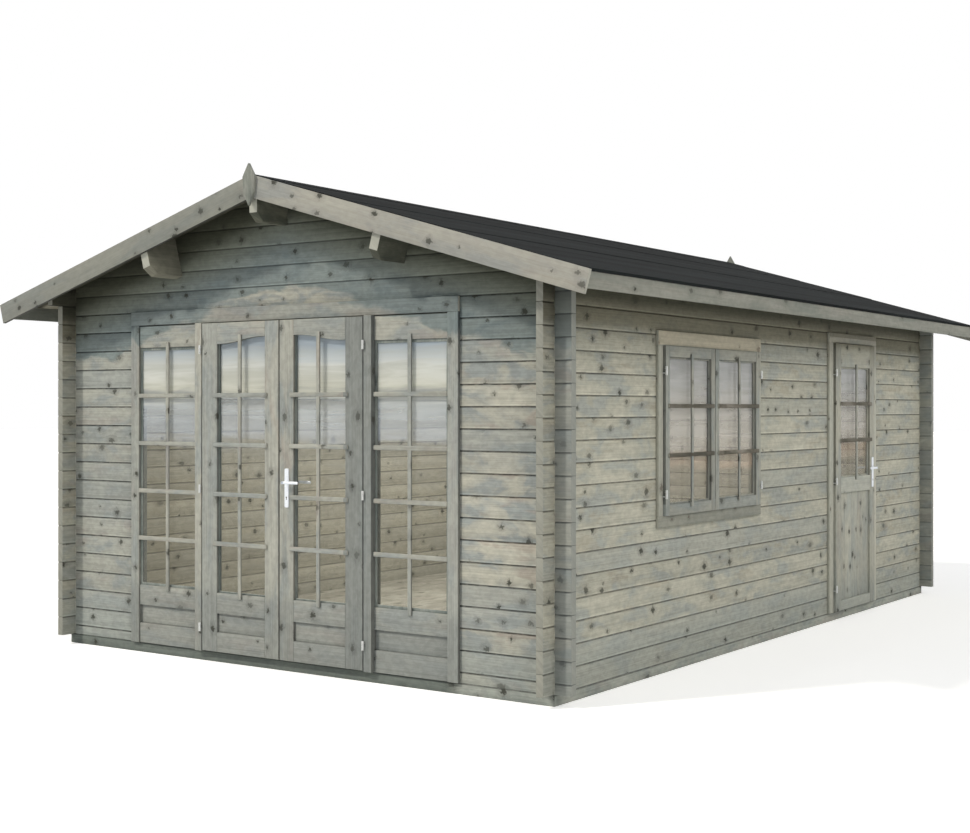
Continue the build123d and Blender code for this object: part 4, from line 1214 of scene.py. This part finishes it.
@dataclass
class LeverHandle:
    """A lever on a long plate, on both faces of a door. Sizes are in millimetres.

    The plate's size is its width, thickness and height, and the keyhole's is the radius of its
    eye and the half width and length of its slot. The arm runs along the wall, toward 1 or -1.
    """

    name: str
    wall: Wall
    leaf_body: str
    lever_body: str
    plate_node: str
    lever_node: str
    u: float
    lever_z: float
    toward: int
    face: float = 36.0
    back: float = -4.0
    plate: Point = (30.0, 6.0, 220.0)
    plate_drop: float = 31.0
    plate_corner: float = 9.0
    neck_radius: float = 8.1
    neck_length: float = 43.0
    elbow: float = 9.0
    arm: float = 102.0
    keyhole: Point = (4.5, 1.8, 14.0)
    keyhole_drop: float = 84.0

    def _to_wall(self, obj: Object) -> None:
        """Carry a piece drawn at the wall's own origin to its place on the wall.

        Args:
            obj: The piece.
        """
        if self.wall is Wall.FRONT:
            obj.location = (0, -HALF_DEPTH, 0)
        else:
            obj.rotation_euler = (0, 0, math.pi / 2)
            obj.location = (HALF_WIDTH, 0, 0)
        settle(obj)

    def _plate(self, side: int) -> Object:
        """Model one plate, its corners rounded and its face eased.

        Args:
            side: 1 outside, -1 inside.

        Returns:
            The plate, at the wall's origin.
        """
        width, thickness, height = self.plate
        seat = self.face if side > 0 else self.back
        outer = -(seat + side * thickness) * MM
        near, far = sorted((-seat * MM, outer))
        middle = self.lever_z - self.plate_drop
        obj = block(f"{self.name}_plate",
                    ((self.u - width / 2) * MM, near, (middle - height / 2) * MM),
                    ((self.u + width / 2) * MM, far, (middle + height / 2) * MM))
        ease(obj, self.plate_corner * MM, 5, lambda mid, way: abs(way.y) > 0.9)
        ease(obj, 1.5 * MM, 2, lambda mid, way: abs(mid.y - outer) < 0.1 * MM and abs(way.y) < 0.1)
        return obj

    def _lever(self, side: int) -> Object:
        """Model one lever: a turned neck, an elbow spun from it and a tapered arm.

        Args:
            side: 1 outside, -1 inside.

        Returns:
            The lever, at the wall's origin.
        """
        seat = self.face + self.plate[1] if side > 0 else self.back - self.plate[1]
        start = -(seat + side) * MM
        end = start - side * (self.neck_length - self.elbow) * MM
        obj = rod(self.neck_radius, abs(end - start),
                  (self.u * MM, (start + end) / 2, self.lever_z * MM), (math.pi / 2, 0, 0))
        with editing(obj, "FACE"):
            pick_faces(obj, lambda face: face.normal.y * -side > 0.9)
            bpy.ops.mesh.spin(
                steps=6, dupli=False, angle=self.toward * side * math.pi / 2, axis=(0, 0, 1),
                center=((self.u + self.toward * self.elbow) * MM, end, self.lever_z * MM))
            half = {"value": (self.toward * self.arm * 0.5 * MM, 0, 0)}
            for taper in ((1, 0.86, 1.05), (1, 0.8, 0.95)):
                bpy.ops.mesh.extrude_region_move(TRANSFORM_OT_translate=half)
                bpy.ops.transform.resize(value=taper)
            bpy.ops.mesh.bevel(offset=3.5 * MM, segments=3)
            bpy.ops.mesh.select_all(action="SELECT")
            bpy.ops.mesh.remove_doubles(threshold=0.02 * MM)
            face_outwards()
        return obj

    def _keyhole(self) -> Object:
        """Model the keyhole under the lever as a thin dark sheet, painted shadow in place of a
        hole: a round eye and a slot below it.

        Returns:
            The keyhole, at the wall's origin.
        """
        radius, half, length = self.keyhole
        thick = 0.4 * MM
        z = (self.lever_z - self.keyhole_drop) * MM
        front = -(self.face + self.plate[1]) * MM
        eye = rod(radius, 2 * thick, (self.u * MM, front, z), (math.pi / 2, 0, 0))
        slot = block("slot", ((self.u - half) * MM, front - thick, z - length * MM),
                     ((self.u + half) * MM, front + thick, z))
        return join(f"{self.name}_keyhole", [eye, slot])

    def build(self) -> None:
        """Build the plates, the lever and the keyhole."""
        plates = join(f"{self.name}_plates", [self._plate(1), self._plate(-1)])
        levers = join(f"{self.name}_lever", [self._lever(1), self._lever(-1)])
        for obj, finish, body, *nodes in (
                (plates, HANDLE, self.leaf_body, self.plate_node),
                (levers, HANDLE, self.lever_body, self.lever_node),
                (self._keyhole(), KEYWAY, self.leaf_body)):
            self._to_wall(obj)
            place_metal(obj, finish, body, "handle_metal", *nodes)


@dataclass
class PinHinges:
    """Lift-off pin hinges: two turned barrels on a pin, each screwed into the wood by a shank.

    Sizes are in millimetres.
    """

    name: str
    wall: Wall
    u: float
    heights: tuple[float, ...]
    lower_seat: float
    upper_seat: float = 36.0
    out: float = 45.0
    radius: float = 7.0
    length: float = 25.0
    gap: float = 0.25
    shank_radius: float = 3.5

    def _turned(self, radius: float, depth: float, out: float, z: float, level: bool) -> Object:
        """Turn one round piece.

        Args:
            radius: Its radius.
            depth: Its length.
            out: How far its middle stands out of the wall.
            z: The height of its middle.
            level: True where it points out of the wall, and not up.

        Returns:
            The new object.
        """
        if self.wall is Wall.FRONT:
            place, turn = (self.u, -HALF_DEPTH / MM - out, z), (math.pi / 2, 0, 0)
        else:
            place, turn = (HALF_WIDTH / MM + out, self.u, z), (0, math.pi / 2, 0)
        place = [value * MM for value in place]
        return rod(radius, depth * MM, place, turn if level else (0, 0, 0))

    def _half(self, name: str, z: float, upper: bool) -> Object:
        """Model one half of a hinge.

        Args:
            name: The half's name.
            z: The height at which the halves meet.
            upper: True for the half on the leaf.

        Returns:
            The barrel and its shank.
        """
        z0, z1 = (z + self.gap, z + self.length) if upper else (z - self.length, z - self.gap)
        seat = self.upper_seat if upper else self.lower_seat
        middle = (z0 + z1) / 2
        barrel = self._turned(self.radius, z1 - z0, self.out, middle, False)
        ease(barrel, 1.2 * MM, 2, lambda mid, way: abs(way.z) < 0.1)
        shank = self._turned(self.shank_radius, self.out - seat, (self.out + seat) / 2, middle,
                             True)
        with editing(shank, "FACE"):
            pick_faces(shank, lambda face: len(face.vertices) > 4)
            bpy.ops.mesh.inset(thickness=0.6 * MM)
        return join(name, [barrel, shank])

    def halves(self, upper: bool) -> list[Object]:
        """Model all the upper or all the lower halves."""
        return [self._half(f"{self.name}_{n}", z, upper) for n, z in enumerate(self.heights)]


@dataclass
class BoardedRoof:
    """Roof boards, felt laid in lapped courses, and the felt's ridge capping."""

    ridge_top: float
    half_length: float = 2.885
    board_count: int = 65
    board_thickness: float = 19 * MM
    board_gap: float = 0.6 * MM
    board_start: float = 1 * MM
    board_reach: float = 2.1767
    v_joint: float = 4 * MM
    felt_thickness: float = 5 * MM
    felt_reach: float = 2.2003
    ply: float = 2.6 * MM
    capping: Span = (0.0, 0.16)
    turn_down: float = 15 * MM
    laps: tuple[Span, ...] = ((1.30, 2.289), (0.62, 1.39), (0.004, 0.71))

    def _on_slope(self, name: str, run: Span, y: Span, depth: Span) -> Object:
        """Add a squared piece on the right slope.

        Args:
            name: The piece's name.
            run: Its ends down the slope from the ridge.
            y: Its ends along the ridge.
            depth: Its top and bottom, measured square below the top of the roof.

        Returns:
            The new object, with its place in its mesh.
        """
        obj = block(name, (run[0], y[0], -depth[1]), (run[1], y[1], -depth[0]))
        obj.rotation_euler = (0, PITCH, 0)
        obj.location = (0, 0, self.ridge_top)
        settle(obj)
        return obj

    def _mirrored(self, obj: Object, name: str) -> Object:
        """Copy a right-hand piece to the left slope.

        Args:
            obj: The piece on the right.
            name: The name of the one on the left.

        Returns:
            The piece on the left.
        """
        twin = copy_of(obj)
        twin.name = name
        twin.scale = (-1, 1, 1)
        settle(twin)
        with editing(twin, "FACE"):
            face_outwards()
        return twin

    def _boards(self) -> None:
        """Model one board with its V joint, and repeat it along both slopes."""
        pitch = 2 * self.half_length / self.board_count
        start = self.board_thickness * math.tan(PITCH) + self.board_start
        top = self.felt_thickness
        board = self._on_slope(
            "right_roof_boards_timber", (start, self.board_reach / math.cos(PITCH)),
            (-self.half_length, -self.half_length + pitch - self.board_gap),
            (top, top + self.board_thickness))
        down = Vector((-math.sin(PITCH), 0, -math.cos(PITCH)))
        level = max(v.co.dot(down) for v in board.data.vertices)
        ease(board, self.v_joint, 1,
             lambda mid, way: abs(mid.dot(down) - level) < 0.1 * MM and abs(way.y) < 0.1)
        repeat(board, self.board_count, (0, pitch, 0))
        twin = self._mirrored(board, "left_roof_boards_timber")
        for obj, node in ((board, "right_roof_boards"), (twin, "left_roof_boards")):
            dress_boards(obj, FRESH_ROOF)
            place_piece(obj, "cabin", "roof_board", node)

    def _course(self, number: int, run: Span) -> Object:
        """Lay one course of felt, its lower edge lifted over the course below.

        Args:
            number: The course, from the eaves.
            run: Its ends down the slope.

        Returns:
            The course, on the right slope.
        """
        low = self.felt_thickness
        course = self._on_slope(f"felt_course_{number}", run, (-self.half_length, self.half_length),
                                (low - self.ply, low))
        ways = Vector((math.cos(PITCH), 0, -math.sin(PITCH)))
        lift = 0 if number == 0 else low - self.ply
        end = max(v.co.dot(ways) for v in course.data.vertices)
        with editing(course, "VERT"):
            with marking(course) as mesh:
                for v in mesh.vertices:
                    v.select = abs(v.co.dot(ways) - end) < 0.1 * MM
            bpy.ops.transform.translate(value=(lift * math.sin(PITCH), 0, lift * math.cos(PITCH)))
        ease(course, 1.0 * MM, 2,
             lambda mid, way: abs(mid.dot(ways) - end) < 4 * MM and abs(way.y) > 0.9)
        return course

    def _felt(self) -> None:
        """Lay the felt courses, the capping and the turned-down edge."""
        length = (-self.half_length, self.half_length)
        courses = [self._course(n, run) for n, run in enumerate(self.laps)]
        cap = self._on_slope("ridge_capping", self.capping, length,
                             (0.2 * MM, self.felt_thickness - self.ply))
        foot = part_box("roof_felt")[0].z
        edge = block("turned_edge", (self.felt_reach - self.felt_thickness, length[0], foot),
                     (self.felt_reach, length[1], foot + self.turn_down))
        right = join("roof_felt_right", [*courses, cap, edge])
        left = self._mirrored(right, "roof_felt_left")
        for obj in (right, left):
            dress_plain(obj, FELT)
            place_piece(obj, "cabin", "roof_felt", "roof_felt")

    def build(self) -> None:
        """Build both slopes."""
        self._boards()
        self._felt()


@dataclass
class BoardedFloor:
    """Tongued floor boards over the joists."""

    count: int = 30
    gap: float = 0.8 * MM
    easing: float = 1.6 * MM

    def build(self) -> None:
        """Model one board and repeat it across the floor."""
        low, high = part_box("floor_boards")
        pitch = (high.x - low.x) / self.count
        board = block("floor_boards_timber", tuple(low),
                      (low.x + pitch - self.gap, high.y, high.z))
        ease(board, self.easing, 2,
             lambda mid, way: mid.z > high.z - 0.1 * MM and abs(way.y) > 0.9)
        repeat(board, self.count, (pitch, 0, 0))
        dress_boards(board, FRESH)
        place_piece(board, "cabin", "floor_board", "floor_boards")


@dataclass
class Timberwork:
    """Every log, beam, board and sash whose solid is right as it stands."""

    timbers: tuple[tuple[WeatheredSpruce, str, str], ...] = (
        (SIDE_LOG, "log", "left_wall right_wall_lower right_wall_front right_wall_middle"),
        (SIDE_LOG, "log", "right_wall_rear right_wall_top"),
        (END_LOG, "log", "back_wall back_gable"),
        (FRONT_LOG, "log", "front_wall_left front_wall_right"),
        (GABLE_LOG, "log", "front_gable"),
        (PURLIN, "purlin", "ridge_purlin side_purlins"),
        (FASCIA, "trim_board", "eaves_fascias"),
        (TRIM, "trim_board", "front_bargeboards back_bargeboards"),
        (FINIAL, "trim_board", "front_finial back_finial"),
        (BASE, "base_timber", "base_beams"))
    joinery: tuple[tuple[str, str, WeatheredSpruce], ...] = (
        ("front_door_frame", "cabin", FRONT_FRAME), ("front_side_lights", "cabin", FRONT_FRAME),
        ("right_door_leaf", "right_leaf", JOINERY), ("left_door_leaf", "left_leaf", JOINERY),
        ("side_door_frame", "cabin", SIDE_FRAME), ("side_door_leaf", "side_leaf", SIDE_JOINERY),
        ("window_frame", "cabin", SIDE_FRAME), ("window_casements", "cabin", CASEMENT))

    def build(self) -> None:
        """Dress all the timber."""
        for finish, slot, names in self.timbers:
            for name in names.split():
                PlanedTimber(name, "cabin", slot, finish).build()
        for name, body, finish in self.joinery:
            PlanedTimber(name, body, "joinery", finish, ease_mm=2.5).build()


@dataclass(frozen=True)
class Grid:
    """The bars and the bead of one pane. Sizes are in millimetres.

    The finishes are those of the upright bar, the cross bars and the bead.
    """

    pane: Span
    upright: Span
    crossings: tuple[float, ...]
    bead: Span
    bars_face: float = 36.0
    glass_face: float = 10.0
    lap: float = 22.0
    bar_width: float = 26.0
    bead_width: float = 9.0
    bead_depth: float = 12.0
    finishes: tuple[WeatheredSpruce, ...] = (JOINERY, JOINERY, BEAD)

    def build(self, name: str, wall: Wall, body: str, side: int = 1) -> None:
        """Build the bars and the bead.

        Args:
            name: How both names start.
            wall: The wall that carries them.
            body: The body that they move with.
            side: -1 carries them over to the other half of the wall.
        """
        pane = tuple(sorted(side * end for end in self.pane))
        upright, crossing, bead = self.finishes
        GlazingBars(f"{name}_bars", wall, body, pane, self.upright, self.crossings,
                    self.bars_face, upright, crossing, self.bar_width, lap=self.lap).build()
        GlazingBead(f"{name}_bead", wall, body, pane, self.bead, self.glass_face, bead,
                    self.bead_width, self.bead_depth).build()


FRONT_BARS = (699.0, 987.0, 1275.0, 1563.0)
LIGHT = Grid((683.3, 1189.7), (385.0, 1884.0), FRONT_BARS, (411.0, 1854.0), bars_face=12.0,
             glass_face=-1.0, lap=0.0, bead_width=16.0, bead_depth=6.0)
LEAF = Grid((111.5, 498.0), (385.0, 1912.0), FRONT_BARS, (411.0, 1925.0))
SIDE_DOOR = Grid((912.5, 1449.5), (975.0, 1802.0), (1259.0, 1519.0), (999.0, 1779.0),
                 finishes=(SIDE_JOINERY, SIDE_BAR, SIDE_JOINERY))
FRONT_CASEMENT = Grid((-1542.0, -1042.0), (924.0, 1798.0), (1222.0, 1500.0), (946.0, 1776.0),
                      bar_width=24.0, finishes=(CASEMENT, SIDE_BAR, CASEMENT))
REAR_CASEMENT = replace(FRONT_CASEMENT, pane=(-942.0, -442.0))


@dataclass
class Glazing:
    """The panes, and the beads and glazing bars in front of them."""

    panes: tuple[tuple[str, FloatGlass], ...] = (
        ("side_light_glass", FRONT_GLASS), ("left_door_glass", FRONT_GLASS),
        ("right_door_glass", FRONT_GLASS), ("side_door_glass", SIDE_GLASS),
        ("window_glass", SIDE_GLASS))

    def build(self) -> None:
        """Dress the panes and build every grid."""
        for node, finish in self.panes:
            dress_plain(frame["nodes"][node], finish)
        for side, word in ((1, "right"), (-1, "left")):
            LIGHT.build(f"{word}_light", Wall.FRONT, "cabin", side)
            LEAF.build(f"{word}_leaf", Wall.FRONT, f"{word}_leaf", side)
        SIDE_DOOR.build("side_door", Wall.RIGHT, "side_leaf")
        FRONT_CASEMENT.build("front_casement", Wall.RIGHT, "cabin")
        REAR_CASEMENT.build("rear_casement", Wall.RIGHT, "cabin")


@dataclass
class Ironmongery:
    """Hinges and lever handles of the doors and the window. Places are in millimetres."""

    front_pin: float = 631.0
    front_heights: Point = (1832.0, 1015.0, 203.0)
    front_seat: float = 36.0
    side_pin: float = 811.5
    side_heights: Point = (1735.0, 977.0, 225.0)
    side_seat: float = 20.0
    window_pins: Span = (-1597.0, -387.0)
    window_heights: Span = (1697.0, 1006.0)

    def build(self) -> None:
        """Build every hinge and handle."""
        leaves = {}
        for word, wall, pin, heights, seat in (
                ("right", Wall.FRONT, self.front_pin, self.front_heights, self.front_seat),
                ("left", Wall.FRONT, -self.front_pin, self.front_heights, self.front_seat),
                ("side", Wall.RIGHT, self.side_pin, self.side_heights, self.side_seat)):
            leaves[f"{word}_leaf"] = PinHinges(f"{word}_hinge", wall, pin, heights, seat)
        for leaf, hinges in leaves.items():
            tops = join(f"{leaf}_hinge_tops", hinges.halves(True))
            place_metal(tops, ZINC, leaf, "hinge_metal", f"{leaf}_hinges")
        lower = [half for hinges in leaves.values() for half in hinges.halves(False)]
        place_metal(join("door_hinge_bottoms", lower), ZINC, "cabin", "hinge_metal",
                    "door_hinge_pins")
        window = []
        for u in self.window_pins:
            hinge = PinHinges("window_hinge", Wall.RIGHT, u, self.window_heights, self.side_seat)
            window += hinge.halves(True) + hinge.halves(False)
        place_metal(join("window_hinge_pins", window), ZINC, "cabin", "hinge_metal",
                    "window_hinges")
        LeverHandle("front_handle", Wall.FRONT, "right_leaf", "front_handle",
                    "front_handle_plates", "front_lever", u=63.5, lever_z=1070.0, toward=1).build()
        LeverHandle("side_handle", Wall.RIGHT, "side_leaf", "side_handle",
                    "side_handle_plates", "side_lever", u=1495.5, lever_z=1050.0, toward=-1).build()


@dataclass
class Studio:
    """A white floor, soft lamps and the camera.

    A sun lamp's numbers are its tilt and its turn in degrees, its strength, and how many degrees
    wide it looks from the cabin.
    """

    camera_at: Point = (5.8703, -8.6424, 1.4873)
    camera_yaw: float = 32.81
    lens: float = 53.805
    shift: Span = (-0.0990, -0.0085)
    sky: float = 0.42
    floor_glow: float = 0.42
    key: tuple[float, ...] = (45.0, -35.0, 1.9, 4.0)
    fill: tuple[float, ...] = (55.0, 75.0, 1.15, 40.0)
    room_watts: float = 90.0
    room_lamp: Span = (2.6, 4.2)
    room_lamp_z: float = 1.98

    def _in_view(self, add: Add) -> Node:
        """Tell rays from the camera, also by way of a mirror or a pane, from rays that only light.

        Args:
            add: Adds a node.

        Returns:
            1 for rays from the camera, and 0 for the others.
        """
        rays = add("LightPath").outputs
        seen = add("Math", (rays["Is Camera Ray"], rays["Is Glossy Ray"]), "MAXIMUM")
        return add("Math", (seen, rays["Is Transmission Ray"]), "MAXIMUM")

    def _floor(self) -> None:
        """Lay the floor, which the camera sees white beyond the cabin's shadow."""
        floor = added(bpy.ops.mesh.primitive_plane_add, size=160)
        floor.name = "studio_floor"
        material, add = start_material("white_floor")
        glow = add("Math", (self._in_view(add), self.floor_glow), "MULTIPLY")
        surface = add("BsdfPrincipled", {
            "Base Color": linear("#f4f4f3"), "Roughness": 0.9, "Specular IOR Level": 0.0,
            "Emission Color": (1, 1, 1, 1), "Emission Strength": glow})
        add("OutputMaterial", (surface,))
        floor.data.materials.append(material)

    def _world(self) -> None:
        """Light softly from all round, and show white behind the cabin."""
        world = bpy.data.worlds.new("studio")
        bpy.context.scene.world = world
        world.use_nodes = True
        world.node_tree.nodes.clear()
        add = partial(add_node, world.node_tree)
        seen = self._in_view(add)
        light = add("Background", {"Color": linear("#eef3fa"), "Strength": self.sky})
        white = add("Background", {"Color": (1, 1, 1, 1), "Strength": 1.0})
        add("OutputWorld", (add("MixShader", (seen, light, white)),))

    def _lamps(self) -> None:
        """Hang a key lamp on the left, a fill lamp on the right and one soft lamp in the room."""
        for tilt, yaw, energy, spread in (self.key, self.fill):
            lamp = added(bpy.ops.object.light_add, type="SUN", location=(0, 0, 6),
                         rotation=(math.radians(tilt), 0, math.radians(yaw)))
            lamp.data.energy = energy
            lamp.data.angle = math.radians(spread)
            lamp.data.color = linear("#fff8ec")[:3]
        lamp = added(bpy.ops.object.light_add, type="AREA", location=(0, 0, self.room_lamp_z))
        lamp.data.shape = "RECTANGLE"
        lamp.data.size, lamp.data.size_y = self.room_lamp
        lamp.data.energy = self.room_watts
        lamp.visible_camera = False
        lamp.visible_glossy = False

    def _camera(self) -> None:
        """Stand the camera where the photograph was taken."""
        camera = added(bpy.ops.object.camera_add, location=self.camera_at,
                       rotation=(math.pi / 2, 0, math.radians(self.camera_yaw)))
        camera.data.sensor_width = 36.0
        camera.data.lens = self.lens
        camera.data.shift_x, camera.data.shift_y = self.shift
        camera.data.clip_end = 300
        bpy.context.scene.camera = camera
        bpy.context.scene.view_settings.view_transform = "Standard"

    def build(self) -> None:
        """Set up the studio."""
        self._floor()
        self._world()
        self._lamps()
        self._camera()


def main() -> None:
    """Build the cabin and the studio."""
    logging.basicConfig(level=logging.INFO, format="%(message)s")
    Studio().build()
    Timberwork().build()
    BoardedRoof(ridge_top=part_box("roof_felt")[1].z).build()
    BoardedFloor().build()
    Glazing().build()
    Ironmongery().build()


if __name__ == "__main__":
    main()
